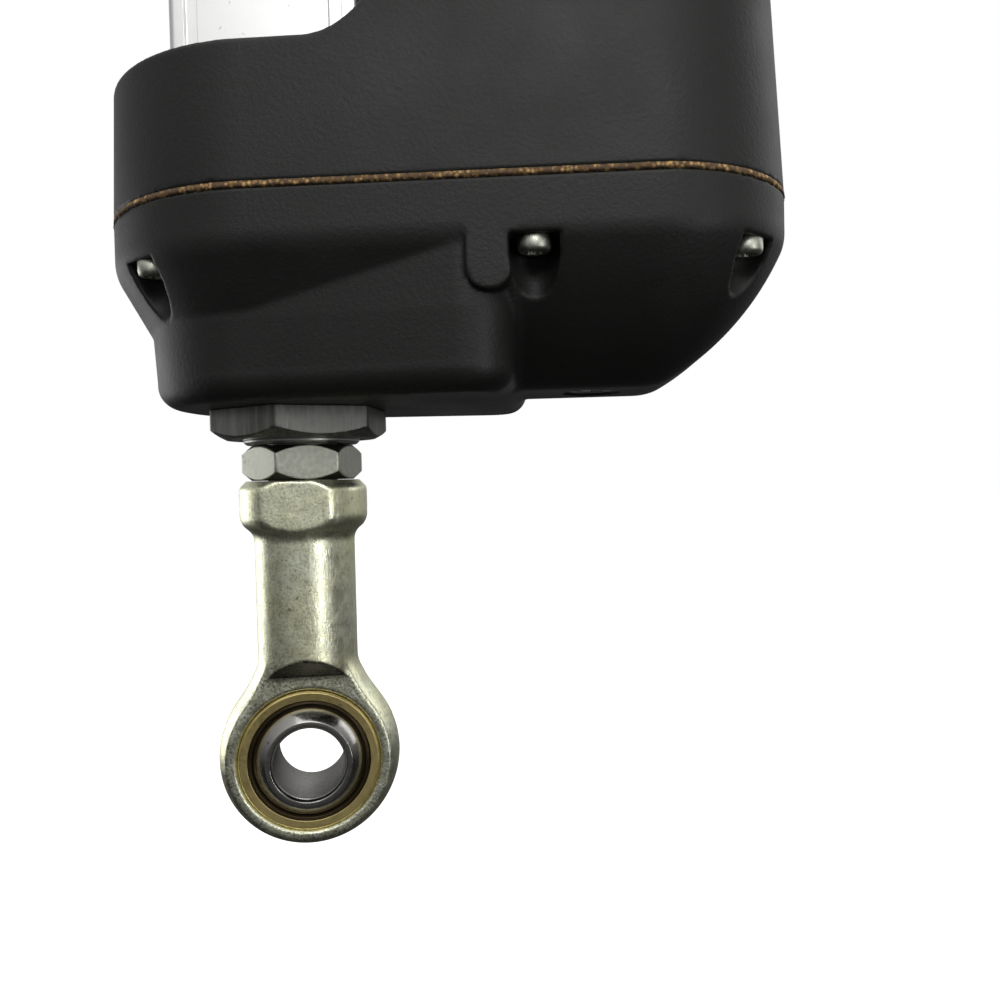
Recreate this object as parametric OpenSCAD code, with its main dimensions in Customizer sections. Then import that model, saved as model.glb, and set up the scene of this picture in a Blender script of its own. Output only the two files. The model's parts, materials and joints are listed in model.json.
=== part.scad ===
// Electric linear actuator: geared motor beside a square cover tube, with
// spherical rod ends at both ends. Origin at the rear ball, +Z along the rod.

/* [Rod ends] */
// Bore of the spherical ball
pin_d = 16; // [10:0.5:17]
// Diameter of the spherical ball
ball_d = 28.6; // [27:0.1:29]
// Width of the ball along its bore
ball_w = 21; // [18:0.5:22]
// Width of the rod end head and race
head_w = 15; // [13:0.5:15.5]
// Diameter of the rod end head
head_d = 41.6; // [40:0.2:46]
// Diameter of the threaded barrel
barrel_d = 23; // [21:0.5:24]
// Diameter of the collar at the end of the barrel
collar_d = 29.3; // [27:0.1:32]
// Distance from the ball's centre to the end of the collar
rod_end_l = 64; // [60:1:64]
// Turn of the rear rod end about the rod axis
rear_turn = 12.9; // [0:0.1:45]
// Diameter of the studs that hold the rod ends
stud_d = 16; // [14:1:16]
// Width across flats of the lock nuts
lock_nut_af = 24; // [22:1:27]

/* [Gear housing] */
// Half width of the housing, and radius of its rod side
half_w = 40.1; // [39:0.1:44]
// Radius of the corners on the motor side
corner_r = 30; // [26:0.5:30]
// Distance from the rod axis to the motor side's corner centres
corner_x = 78.2; // [78:0.1:84]
// Height of the parting line between cap and housing
parting_z = 120; // [119.5:0.1:120.5]
// Thickness of the gasket at the parting line
gasket_t = 1; // [0.6:0.1:1]
// Top of the housing on the rod side
deck_z = 148; // [148:1:152]
// Top of the motor shell
shell_z = 236; // [234:1:250]
// Draft of the housing walls
draft = 1.8; // [1:0.1:2]
// Left wall of the motor shell, beside the tube
shell_x = 26; // [25:0.5:28]

/* [Drive] */
// Distance the rod travels
stroke = 100; // [40:1:100]
// Travel for each turn of the ball screw
lead = 10; // [8:0.5:12]
// Outer diameter of the ball screw
screw_d = 16; // [14:0.5:16]
// Gear module
gear_m = 1.25; // [1.25:0.01:1.25]
// Teeth on each pinion
pinion_teeth = 18; // [18:1:18]
// Teeth on each wheel
wheel_teeth = 36; // [36:1:36]
// Thinning of each tooth for backlash
backlash = 0.08; // [0.06:0.01:0.14]

/* [Tube and rod] */
// Width of the square cover tube
tube_w = 41; // [40:0.5:42]
// Length of the cover tube
tube_l = 164; // [164:1:220]
// Outer diameter of the sliding rod
rod_d = 25; // [24:0.5:26]

/* [Hidden] */
$fn = 64;
hull_fn = 32;
e = 0.01;              // overlap that keeps cuts clean
fit = 0.05;            // radial running clearance

// rod end and nuts
race_d = 32;
race_lip_d = 29.3;
lip_t = 1;
collar_z = 51;
lock_nut_h = 8;
thread_bore_r = stud_d / 2 + fit;

// rear sleeve and nut, bottom to top
sleeve_z = 72.3;
hex_nut_z = 73.5;
foot_z = 80.3;
floor_z = 84;
sleeve_r = 13.45;
cup_r = 20;
hex_nut_af = 36;

// bearings of the ball screw
brg_r = 16;
brg_w = 10;
brg_bore = 6;
brg_ball_r = 2.95;
brg_pitch_r = 11.05;
brg_balls = 7;
lower_brg_z = 92;
upper_brg_z = 130;
circlip_t = 1;

// gear train: rod axis, idler axis and motor axis lie on one line
gear_a = gear_m * (pinion_teeth + wheel_teeth) / 2;
idler_x = gear_a;
motor_x = 2 * gear_a;
low_gear_z = 106;
high_gear_z = 118;
gear_w = 10;
wheel_w = 8;
axle_r = 4;
axle_z = 97;
bush_r = 5.5;
wall_z = 128.5;
chamber_r = 27;
chamber_z = 103;

// housing
cap_top = parting_z - gasket_t / 2;
housing_z = parting_z + gasket_t / 2;
rod_side_x = 1.1;
cap_screw_at = [[-21.4, 28.2], [56.2, 35.6], [97.4, 27.2]];
pocket_turn = [129, 90, 56];  // the way each screw's pocket opens
cap_screw_seat = 109;
pocket_r = 4.8;
pocket_tip_r = 1.2;
pocket_h = 14;
foot_centre = [1, 1.5];
foot_end = [42, 29];
cap_thread_r = 2;
skirt_top = 109.3;
skirt_low = 93.3;
skirt_r = 31.4;
foot_r = 31.5;
foot_end_r = 9.7;
far_draft = 3;
deck_fillet = 13;

// motor
shaft_r = 5;
can_r = 33;
can_z = 144;
motor_brg_r = 13;
motor_brg_w = 8;
low_motor_brg_z = 130;
top_motor_brg_z = 240;
cover_h = 20;
cover_screw_at = [[36, 30], [91.2, 26.4]];
cover_screw_seat = shell_z + 12;
cover_pocket_r = 3.6;
gland_x = 88;
gland_r = 6;
cable_r = 3.5;

// tube and rod
bore_r = 17;
tube_top = deck_z + tube_l;
end_cap_h = 20;
end_cap_top = tube_top + end_cap_h;
tie_at = 16.3;
nut_z = 152;
nut_l = 32;
rod_top = end_cap_top + 8;
rod_in_r = 10;
screw_top = nut_z + nut_l + stroke + 6;
front_z = rod_top + lock_nut_h + rod_end_l;

// ---------- shared shapes ----------

module ring(r_out, r_in, h) {
    difference() {
        cylinder(r = r_out, h = h);
        translate([0, 0, -1]) cylinder(r = r_in, h = h + 2);
    }
}

// Cylinder with the same chamfer at both ends
module chamfered_rod(r, h, c) {
    rotate_extrude()
        polygon([[0, 0], [r - c, 0], [r, c], [r, h - c], [r - c, h], [0, h]]);
}

// Hexagon nut, its corners cut by a 30 degree chamfer at the chosen ends
module hex_nut(af, h, bore_r, top = true, bottom = true) {
    corner = af / 2 / cos(30);
    drop = (corner - af / 2 * 0.97) * tan(30);
    difference() {
        intersection() {
            cylinder(r = corner, h = h, $fn = 6);
            rotate_extrude()
                polygon([[0, 0], [bottom ? af / 2 * 0.97 : corner + 1, 0],
                    [corner + 1, bottom ? drop : 0], [corner + 1, top ? h - drop : h],
                    [top ? af / 2 * 0.97 : corner + 1, h], [0, h]]);
        }
        translate([0, 0, -1]) cylinder(r = bore_r, h = h + 2);
    }
}

// Plan of the housing, drawn in by the inset
module plan(inset = 0) {
    translate([rod_side_x, 0]) circle(r = half_w - inset);
    translate([rod_side_x, -half_w + inset])
        square([corner_x - rod_side_x, 2 * (half_w - inset)]);
    for (s = [-1, 1])
        translate([corner_x, s * (half_w - corner_r)]) circle(r = corner_r - inset);
    translate([corner_x - 1, -(half_w - corner_r)])
        square([corner_r - inset + 1, 2 * (half_w - corner_r)]);
}

// One thin level of the housing's plan, for hulls
module plan_level(z, inset) {
    translate([0, 0, z]) {
        translate([rod_side_x, 0, 0]) cylinder(r = half_w - inset, h = e, $fn = hull_fn * 2);
        for (s = [-1, 1])
            translate([corner_x, s * (half_w - corner_r), 0])
                cylinder(r = corner_r - inset, h = e, $fn = hull_fn * 2);
    }
}

// One thin level of a rounded rectangle between x0 and x1, for hulls
module box_level(z, x0, x1, half_y, r) {
    for (x = [x0 + r, x1 - r])
        for (s = [-1, 1])
            translate([x, s * (half_y - r), z]) cylinder(r = r, h = e, $fn = hull_fn);
}

// One thin level of the motor shell's plan: tight corners beside the tube,
// wide ones on the far side
module shell_level(z, inset) {
    left_r = 5;
    far_in = (z - housing_z) * tan(far_draft) + inset;
    side_in = (z - housing_z) * tan(draft) + inset;
    for (s = [-1, 1]) {
        translate([shell_x + (z - deck_z) * tan(draft) + left_r + inset / 2,
            s * (half_w - side_in - left_r), z])
            cylinder(r = left_r, h = e, $fn = hull_fn);
        translate([corner_x, s * (half_w - corner_r), z])
            scale([(corner_r - far_in) / (corner_r - side_in), 1, 1])
                cylinder(r = corner_r - side_in, h = e, $fn = hull_fn * 2);
    }
}

module at_cap_screws() {
    for (p = cap_screw_at)
        for (s = [-1, 1])
            translate([p[0], s * p[1], 0]) children();
}

module at_corners(d) {
    for (sx = [-1, 1])
        for (sy = [-1, 1])
            translate([sx * d, sy * d, 0]) children();
}

// ---------- gears ----------

function inv(a) = tan(a) - a * PI / 180;

// Half angle of a tooth at radius rho, in degrees
function tooth_half(rho, r, rb) = let(rr = max(rho, rb))
    ((PI * gear_m / 2 - backlash) / (2 * r) + inv(20) - inv(acos(rb / rr))) * 180 / PI;

module gear_2d(teeth) {
    r = gear_m * teeth / 2;
    rb = r * cos(20);
    root = r - 1.25 * gear_m;
    tip = r + gear_m;
    steps = 4;
    flank = concat([root], [for (i = [0:steps]) let(a = max(rb, root + e))
        a + (tip - a) * i / steps]);
    n = len(flank);
    polygon([for (t = [0:teeth - 1]) for (i = [0:2 * n - 1])
        let(k = i < n ? i : 2 * n - 1 - i, side = i < n ? -1 : 1,
            a = 360 * t / teeth + side * tooth_half(flank[k], r, rb))
        flank[k] * [cos(a), sin(a)]]);
}

module gear(teeth, h, bore_r) {
    difference() {
        linear_extrude(h) gear_2d(teeth);
        translate([0, 0, -1]) cylinder(r = bore_r, h = h + 2);
    }
}

// ---------- bearings ----------

module bearing_outer(r, w, ball_r, pitch_r) {
    rotate_extrude() difference() {
        translate([pitch_r + ball_r * 0.55, 0]) square([r - pitch_r - ball_r * 0.55, w]);
        translate([pitch_r, w / 2]) circle(r = ball_r + fit);
    }
}

module bearing_inner(r, w, ball_r, pitch_r) {
    rotate_extrude() difference() {
        translate([r, 0]) square([pitch_r - ball_r * 0.55 - r, w]);
        translate([pitch_r, w / 2]) circle(r = ball_r + fit);
    }
}

module at_screw_bearings() {
    for (z = [lower_brg_z, upper_brg_z]) translate([0, 0, z]) children();
}

// ---------- rod ends ----------

module ball() {
    color("gainsboro") rotate([90, 0, 0]) rotate_extrude() difference() {
        intersection() {
            circle(d = ball_d);
            translate([pin_d / 2, -ball_w / 2]) square([ball_d, ball_w]);
        }
        for (s = [-1, 1])
            translate([pin_d / 2, s * ball_w / 2]) rotate(45) square(1, center = true);
    }
}

module race() {
    color("goldenrod") rotate([90, 0, 0]) rotate_extrude() difference() {
        union() {
            translate([0, -head_w / 2 + lip_t]) square([race_d / 2 - fit, head_w - 2 * lip_t]);
            translate([0, -head_w / 2]) square([race_lip_d / 2, head_w]);
        }
        circle(r = ball_d / 2 + fit);
    }
}

module rod_end() {
    hw = head_w / 2;
    color("silver") difference() {
        union() {
            rotate([90, 0, 0]) cylinder(d = head_d, h = head_w, center = true);
            rotate([90, 0, 0]) linear_extrude(head_w, center = true)
                polygon([[-17.65, 9.7], [-15.2, 14], [-11.6, 21.5], [-11.4, 24],
                    [11.4, 24], [11.6, 21.5], [15.2, 14], [17.65, 9.7]]);
            translate([0, 0, 17]) cylinder(d = barrel_d, h = collar_z - 16);
            translate([0, 0, collar_z]) rotate_extrude()
                polygon([[0, 0], [barrel_d / 2, 0], [collar_d / 2, 2.4],
                    [collar_d / 2, rod_end_l - collar_z - 1.5],
                    [collar_d / 2 - 1.5, rod_end_l - collar_z], [0, rod_end_l - collar_z]]);
        }
        // the head's faces end in a ramp up to the barrel
        for (s = [-1, 1])
            scale([1, s, 1]) rotate([90, 0, 90]) linear_extrude(60, center = true)
                polygon([[hw, -30], [hw, 19.5], [hw + 4, 23.5], [hw + 9, 23.5], [hw + 9, -30]]);
        // wrench flats on the collar
        for (s = [-1, 1])
            translate([-20, s * (collar_d * 0.42 + 5) - 5, collar_z - 1]) cube([40, 10, 20]);
        rotate([90, 0, 0]) cylinder(d = race_d, h = head_w - 2 * lip_t, center = true);
        rotate([90, 0, 0]) cylinder(d = race_lip_d + 0.1, h = head_w + 1, center = true);
        translate([0, 0, 28]) cylinder(r = thread_bore_r, h = rod_end_l);
    }
}

module lock_nut(turn) {
    color("silver") rotate([0, 0, turn]) hex_nut(lock_nut_af, lock_nut_h, thread_bore_r);
}

module stud(l) {
    color("silver") chamfered_rod(stud_d / 2, l, 1);
}

module to_front() {
    translate([0, 0, front_z]) rotate([180, 0, 0]) children();
}

module rear_ball() { rotate([0, 0, rear_turn]) ball(); }
module rear_race() { rotate([0, 0, rear_turn]) race(); }
module rear_rod_end() { rotate([0, 0, rear_turn]) rod_end(); }
module rear_lock_nut() { translate([0, 0, rod_end_l]) lock_nut(21); }
module rear_stud() { translate([0, 0, 30]) stud(floor_z - 30); }
module front_ball() { to_front() ball(); }
module front_race() { to_front() race(); }
module front_rod_end() { to_front() rod_end(); }
module front_lock_nut() { translate([0, 0, rod_top]) lock_nut(0); }
module front_stud() { translate([0, 0, rod_top - 24]) stud(24 + lock_nut_h + 34); }

// ---------- rear sleeve ----------

module rear_sleeve() {
    web_z = 85;
    cup_top = lower_brg_z + brg_w + circlip_t + 1;
    color("dimgray") difference() {
        union() {
            translate([0, 0, sleeve_z]) cylinder(r = sleeve_r - 0.6, h = 2);
            translate([0, 0, hex_nut_z]) cylinder(r = sleeve_r, h = floor_z - hex_nut_z + 1);
            translate([0, 0, floor_z]) cylinder(r = cup_r, h = cup_top - floor_z);
        }
        translate([0, 0, sleeve_z - 1]) cylinder(r = thread_bore_r, h = web_z - sleeve_z);
        translate([0, 0, web_z + 2]) cylinder(r = 13, h = 30);
        translate([0, 0, lower_brg_z]) cylinder(r = brg_r, h = 30);
        translate([0, 0, lower_brg_z + brg_w])
            cylinder(r = brg_r + 0.8, h = circlip_t + 0.1);
    }
}

module rear_hex_nut() {
    color("gray") translate([0, 0, hex_nut_z]) rotate([0, 0, 30])
        hex_nut(hex_nut_af, foot_z - hex_nut_z, sleeve_r + fit, top = false);
}

// ---------- gear cap ----------

// Foot under the rod side: a rounded wedge that widens towards the motor
module foot_body() {
    hull()
        for (l = [[0, 6], [0.8, 3.2], [2.5, 1.2], [6, 0], [17, -0.4]]) {
            z = foot_z + l[0];
            inset = l[1];
            for (s = [-1, 1]) {
                translate([foot_centre[0], s * foot_centre[1], z])
                    cylinder(r = foot_r - inset, h = e, $fn = hull_fn * 2);
                translate([foot_end[0], s * foot_end[1], z])
                    cylinder(r = foot_end_r - inset, h = e, $fn = hull_fn);
            }
        }
}

// Dome under the motor side, drawn in further the lower it goes
module dome_body() {
    hull()
        for (l = [[113, 0, 0], [108.7, 0.8, 0.3], [104.6, 3, 1.8], [100.4, 5.8, 5],
            [96.2, 9, 9.2], [92.1, 13, 14], [87.9, 17.8, 20], [84.4, 23.8, 26], [82.5, 29, 30]])
            box_level(l[0], 50 + l[1] / 5, corner_x + corner_r - l[1], half_w - l[2],
                max(corner_r - l[1], 9));
}

// Sloping skirt between the band and the foot
module skirt_body() {
    translate([rod_side_x, 0, skirt_low])
        cylinder(r1 = skirt_r, r2 = half_w, h = skirt_top - skirt_low);
    translate([rod_side_x, 0, 0]) rotate([90, 0, 90]) linear_extrude(53)
        polygon([[-skirt_r, skirt_low], [skirt_r, skirt_low], [half_w, skirt_top],
            [-half_w, skirt_top]]);
}

module cap_cavity() {
    top = cap_top + 1;
    translate([0, 0, floor_z]) cylinder(r = cup_r + 0.3, h = top - floor_z);
    for (x = [0, motor_x])
        translate([x, 0, chamber_z]) cylinder(r = chamber_r, h = top - chamber_z);
    translate([0, 1 - chamber_r, chamber_z])
        cube([motor_x, 2 * chamber_r - 2, top - chamber_z]);
    translate([motor_x, 0, 92]) cylinder(r = 12, h = 20);
}

module gear_cap() {
    band_low = 107;
    color([0.13, 0.13, 0.14]) difference() {
        union() {
            translate([0, 0, skirt_top]) linear_extrude(cap_top - skirt_top) plan();
            intersection() {
                translate([0, 0, band_low]) linear_extrude(6) plan();
                translate([46, -50, 0]) cube([80, 100, 200]);
            }
            foot_body();
            dome_body();
            skirt_body();
            for (s = [-1, 1]) scale([1, s, 1]) {
                translate([47.6, -half_w + 8, 102.9]) rotate([90, 0, 0])
                    cylinder(r = 4.3, h = 8);
                translate([43.3, -half_w, 102.9]) cube([8.6, 8, 6]);
            }
        }
        difference() {
            cap_cavity();
            at_cap_screws() cylinder(r = 7.5, h = 200);
            translate([idler_x, 0, 0]) cylinder(r = 7, h = low_gear_z - 1);
        }
        translate([idler_x, 0, axle_z]) cylinder(r = axle_r, h = 30);
        at_cap_screws() cylinder(r = cap_thread_r + 0.3, h = 200);
        // tapered pockets, each open to the side of the casting
        for (i = [0:2])
            for (s = [-1, 1])
                translate([cap_screw_at[i][0], s * cap_screw_at[i][1], cap_screw_seat - pocket_h])
                    rotate([0, 0, s * pocket_turn[i]])
                        for (d = [0:2.4:7.2]) translate([d, 0, 0])
                            cylinder(r1 = pocket_tip_r, r2 = pocket_r, h = pocket_h);
        translate([0, 0, 70]) cylinder(r = sleeve_r + 0.1, h = 20);
        translate([motor_x, 0, 70]) cylinder(r = 5, h = 40);
        translate([motor_x, 0, 70]) cylinder(r = 6.2, h = 15.2);
    }
}

module cap_gasket() {
    color([0.45, 0.34, 0.22]) translate([0, 0, cap_top]) linear_extrude(gasket_t) difference() {
        plan();
        for (x = [0, motor_x]) translate([x, 0]) circle(r = chamber_r + 1);
        translate([0, -chamber_r]) square([motor_x, 2 * chamber_r]);
        for (p = cap_screw_at)
            for (s = [-1, 1]) translate([p[0], s * p[1]]) circle(r = cap_thread_r + 0.3);
    }
}

// Pan head screw, head down, with a hexagon socket
module cap_screw(l) {
    difference() {
        union() {
            translate([0, 0, -3]) rotate_extrude()
                polygon([[0, 0], [2.6, 0], [3.1, 0.4], [3.25, 1], [3.25, 3], [0, 3]]);
            cylinder(r = cap_thread_r, h = l);
        }
        translate([0, 0, -4]) cylinder(r = 1.75, h = 2.8, $fn = 6);
    }
}

module cap_screws() {
    color("silver") at_cap_screws() translate([0, 0, cap_screw_seat]) cap_screw(22);
}

module hand_drive_plug() {
    color([0.3, 0.3, 0.31]) translate([motor_x, 0, 82.9]) difference() {
        union() {
            cylinder(r = 6, h = 2.2);
            cylinder(r = 5 - fit, h = 8);
        }
        translate([0, 0, -1]) cylinder(r = 2.9, h = 5, $fn = 6);
    }
}

module plug_seal() {
    color([0.08, 0.08, 0.08]) translate([motor_x, 0, 91]) ring(5 - fit, 3, 0.8);
}

// ---------- gear housing ----------

module gear_housing() {
    lower_in = (deck_z - housing_z) * tan(draft);
    color([0.13, 0.13, 0.14]) difference() {
        union() {
            hull() {
                plan_level(housing_z, 0);
                plan_level(deck_z - 0.6, lower_in);
                plan_level(deck_z - e, lower_in + 0.5);
            }
            hull() {
                shell_level(housing_z + 1, 0);
                shell_level(shell_z - e, 0);
            }
            // fillet from the deck up to the motor shell
            translate([0, half_w - lower_in - 0.2, 0]) rotate([90, 0, 0])
                linear_extrude(2 * (half_w - lower_in - 0.2)) difference() {
                    translate([shell_x - deck_fillet, deck_z - 2])
                        square([deck_fillet + 6, deck_fillet + 2]);
                    translate([shell_x - deck_fillet, deck_z + deck_fillet])
                        circle(r = deck_fillet);
                    translate([shell_x + 0.4, deck_z - 3 + deck_fillet]) square(10);
                }
        }
        // gear chamber
        translate([0, 0, housing_z - 1]) {
            for (x = [0, motor_x])
                translate([x, 0, 0]) cylinder(r = chamber_r, h = wall_z - housing_z + 1);
            translate([0, 1 - chamber_r, 0])
                cube([motor_x, 2 * chamber_r - 2, wall_z - housing_z + 1]);
        }
        translate([0, 0, wall_z - 1]) cylinder(r = brg_r, h = upper_brg_z + brg_w - wall_z + 1);
        translate([0, 0, upper_brg_z - circlip_t - 0.1]) cylinder(r = brg_r + 0.8, h = circlip_t);
        translate([0, 0, upper_brg_z]) cylinder(r = 13.5, h = 30);
        translate([0, 0, deck_z - 5]) cylinder(r = bore_r, h = 30);
        // the tube's foot stands in the deck's fillet
        translate([0, 0, deck_z]) linear_extrude(20) rounded_square(tube_w / 2 + 0.2, 3.5);
        translate([motor_x, 0, low_motor_brg_z]) cylinder(r = motor_brg_r, h = 30);
        translate([motor_x, 0, wall_z - 1]) cylinder(r = 9, h = 10);
        translate([motor_x, 0, can_z]) cylinder(r = can_r + fit, h = 120);
        translate([idler_x, 0, wall_z - 1]) cylinder(r = axle_r, h = 11);
        at_cap_screws() cylinder(r = cap_thread_r + fit, h = cap_screw_seat + 23);
        at_corners(tie_at) translate([0, 0, deck_z - 12]) cylinder(r = 2.15, h = 40);
        at_cover_screws() translate([0, 0, shell_z - 12]) cylinder(r = 1.8, h = 30);
    }
}

module at_cover_screws() {
    for (p = cover_screw_at)
        for (s = [-1, 1]) translate([p[0], s * p[1], 0]) children();
}

// ---------- ball screw ----------

module bearing_circlips() {
    color("dimgray")
        for (z = [lower_brg_z + brg_w, upper_brg_z - circlip_t - 0.1])
            translate([0, 0, z]) difference() {
                ring(brg_r + 0.75, brg_r - 1.6, circlip_t - 0.1);
                translate([0, -3, -1]) cube([30, 6, 3]);
            }
}

module screw_bearing_outer_rings() {
    color("lightgray") at_screw_bearings()
        bearing_outer(brg_r - 0.02, brg_w, brg_ball_r, brg_pitch_r);
}

module screw_bearing_inner_rings() {
    color("lightgray") at_screw_bearings()
        bearing_inner(brg_bore + 0.02, brg_w, brg_ball_r, brg_pitch_r);
}

module screw_bearing_balls() {
    color("white") at_screw_bearings()
        for (i = [0:brg_balls - 1])
            rotate([0, 0, i * 360 / brg_balls])
                translate([brg_pitch_r, 0, brg_w / 2]) sphere(r = brg_ball_r);
}

module screw_lock_nut() {
    color("gray") translate([0, 0, lower_brg_z - 4]) difference() {
        ring(9, brg_bore + 0.02, 3.9);
        for (a = [0:90:270]) rotate([0, 0, a]) translate([7.6, -1.5, -1]) cube([4, 3, 6]);
    }
}

// Section of the screw: round, with a groove that the balls run in
function groove(a) = let(d = abs(a > 180 ? a - 360 : a)) d < 60 ? 1.3 * cos(d * 1.5) : 0;

module ball_screw() {
    thread_z = upper_brg_z + brg_w;
    turns = (screw_top - thread_z) / lead;
    color("lightgray") difference() {
        union() {
            translate([0, 0, floor_z + 4]) cylinder(r = brg_bore, h = thread_z - floor_z - 3);
            translate([0, 0, thread_z]) cylinder(r = screw_d / 2 - 0.2, h = 8);
            translate([0, 0, thread_z + 6])
                linear_extrude(screw_top - thread_z - 6, twist = -360 * (turns - 0.6),
                    slices = round(12 * turns), $fn = 14)
                    polygon([for (a = [0:24:336]) (screw_d / 2 - groove(a)) * [cos(a), sin(a)]]);
            translate([0, 0, screw_top - 1]) cylinder(r = 5, h = 13);
        }
        translate([-2, brg_bore - 2, low_gear_z]) cube([4, 4, gear_w]);
    }
}

module screw_key() {
    color("gray") translate([-1.97, brg_bore - 1.95, low_gear_z + 0.5])
        cube([3.94, 3.9, gear_w - 1]);
}

module screw_gear() {
    color("gray") translate([0, 0, low_gear_z]) difference() {
        gear(wheel_teeth, gear_w, brg_bore + 0.02);
        translate([-2, 0, -1]) cube([4, brg_bore + 2, gear_w + 2]);
        for (z = [-1, gear_w - 2.5]) translate([0, 0, z]) ring(18, 10.5, 3.5);
    }
}

module screw_spacers() {
    color("silver") {
        translate([0, 0, lower_brg_z + brg_w])
            ring(8, brg_bore + 0.02, low_gear_z - lower_brg_z - brg_w);
        translate([0, 0, low_gear_z + gear_w])
            ring(8, brg_bore + 0.02, upper_brg_z - low_gear_z - gear_w);
    }
}

module screw_guide() {
    color("white") translate([0, 0, screw_top]) ring(rod_in_r - 0.1, 5.02, 8);
}

// ---------- idler ----------

module idler_axle() {
    color("silver") translate([idler_x, 0, axle_z])
        cylinder(r = axle_r - 0.02, h = wall_z - axle_z + 9);
}

module idler_bush() {
    color("peru") translate([idler_x, 0, low_gear_z - 0.5])
        ring(bush_r, axle_r + fit, high_gear_z + wheel_w - low_gear_z + 1);
}

module idler_wheel() {
    color("gray") translate([idler_x, 0, high_gear_z]) difference() {
        gear(wheel_teeth, wheel_w, bush_r + 0.02);
        translate([0, 0, wheel_w - 2.5]) ring(18, 9, 3.5);
    }
}

module idler_pinion() {
    color("silver") translate([idler_x, 0, low_gear_z]) rotate([0, 0, 180 / pinion_teeth])
        gear(pinion_teeth, high_gear_z - low_gear_z, bush_r + 0.02);
}

// ---------- motor ----------

module motor_shaft() {
    color("lightgray") translate([motor_x, 0, 0]) difference() {
        translate([0, 0, 112]) chamfered_rod(shaft_r - 0.02, top_motor_brg_z + motor_brg_w - 112, 0.5);
        translate([0, 0, 111]) cylinder(r = 2.9, h = 8, $fn = 6);
    }
}

module motor_pinion() {
    color("silver") translate([motor_x, 0, high_gear_z]) rotate([0, 0, 180 / pinion_teeth])
        gear(pinion_teeth, wheel_w, shaft_r);
}

module armature_core() {
    slots = 12;
    color("gray") translate([motor_x, 0, 160]) linear_extrude(46) difference() {
        circle(r = 23.5);
        circle(r = shaft_r);
        for (i = [0:slots - 1]) rotate(i * 360 / slots) {
            translate([17, 0]) circle(r = 3.4);
            translate([17, -1]) square([8, 2]);
        }
    }
}

module armature_windings() {
    color("chocolate") translate([motor_x, 0, 0])
        for (z = [151, 206.1])
            translate([0, 0, z]) rotate_extrude()
                polygon([[7, 1], [8, 0], [19, 0], [21, 2], [21, 6.5], [19, 8.8], [8, 8.8], [7, 8]]);
}

module commutator() {
    bars = 12;
    color("peru") translate([motor_x, 0, 216]) difference() {
        ring(11, shaft_r, 14);
        for (i = [0:bars - 1])
            rotate([0, 0, (i + 0.5) * 360 / bars]) translate([10, -0.3, -1]) cube([3, 0.6, 16]);
    }
}

module motor_bearings() {
    color("lightgray") translate([motor_x, 0, 0])
        for (z = [low_motor_brg_z, top_motor_brg_z]) translate([0, 0, z]) {
            ring(motor_brg_r - 0.02, 10.4, motor_brg_w);
            translate([0, 0, 0.6]) ring(10.4, shaft_r + 0.03, motor_brg_w - 1.2);
        }
}

module motor_can() {
    color("slategray") translate([motor_x, 0, can_z]) {
        ring(can_r, 30, 88);
    }
}

module motor_magnets() {
    color([0.25, 0.25, 0.27]) translate([motor_x, 0, 156])
        intersection() {
            ring(30 - 0.02, 24.3, 54);
            for (s = [0, 180]) rotate([0, 0, s])
                linear_extrude(54) polygon([[0, 0], [50, -50], [80, 0], [50, 50]]);
        }
}

module brush_plate() {
    color("saddlebrown") translate([motor_x, 0, 216]) {
        difference() {
            union() {
                ring(30 - 0.02, 16, 3);
                for (s = [0, 180]) rotate([0, 0, s]) translate([13, -5, 1]) cube([15, 10, 11]);
            }
            for (s = [0, 180]) rotate([0, 0, s]) translate([12, -3.1, 4]) cube([17, 6.2, 5.1]);
        }
    }
}

module brushes() {
    color([0.2, 0.2, 0.2]) translate([motor_x, 0, 216])
        for (s = [0, 180]) rotate([0, 0, s]) translate([0, -3, 4.1]) difference() {
            translate([9, 0, 0]) cube([15, 6, 4.9]);
            translate([0, 3, -1]) cylinder(r = 11 + fit, h = 8);
        }
}

module motor_cover() {
    color([0.13, 0.13, 0.14]) difference() {
        hull()
            for (l = [[1, 0], [10, 0.4], [14, 1.2], [17, 2.8], [19.2, 5.5], [cover_h, 9]])
                shell_level(shell_z + l[0] - e, l[1]);
        translate([motor_x, 0, shell_z]) {
            cylinder(r = 30, h = top_motor_brg_z - shell_z);
            cylinder(r = motor_brg_r, h = top_motor_brg_z - shell_z + motor_brg_w);
        }
        at_cover_screws() {
            cylinder(r = 2, h = 300);
            translate([0, 0, cover_screw_seat]) cylinder(r = cover_pocket_r, h = 30);
        }
        translate([gland_x, 0, shell_z]) cylinder(r = gland_r, h = 30);
    }
}

module cover_seal() {
    color([0.08, 0.08, 0.08]) translate([motor_x, 0, shell_z]) ring(33.5, 30.5, 1 - e);
}

module cover_screws() {
    color("silver") at_cover_screws() translate([0, 0, cover_screw_seat]) mirror([0, 0, 1]) difference() {
        union() {
            translate([0, 0, -3]) cylinder(r = 3.2, h = 3);
            cylinder(r = 1.75, h = 22);
        }
        translate([0, 0, -4]) cylinder(r = 1.6, h = 2.8, $fn = 6);
    }
}

module cable_gland() {
    color([0.1, 0.1, 0.1]) translate([gland_x, 0, 0]) difference() {
        union() {
            translate([0, 0, shell_z + 8]) cylinder(r = gland_r - fit, h = cover_h - 7);
            translate([0, 0, shell_z + cover_h]) cylinder(r = 10, h = 6, $fn = 6);
            translate([0, 0, shell_z + cover_h + 6 - e]) rotate_extrude()
                polygon([[0, 0], [8.6, 0], [8.6, 6], [6.2, 10], [0, 10]]);
        }
        cylinder(r = cable_r + 0.1, h = 400);
    }
}

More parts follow.
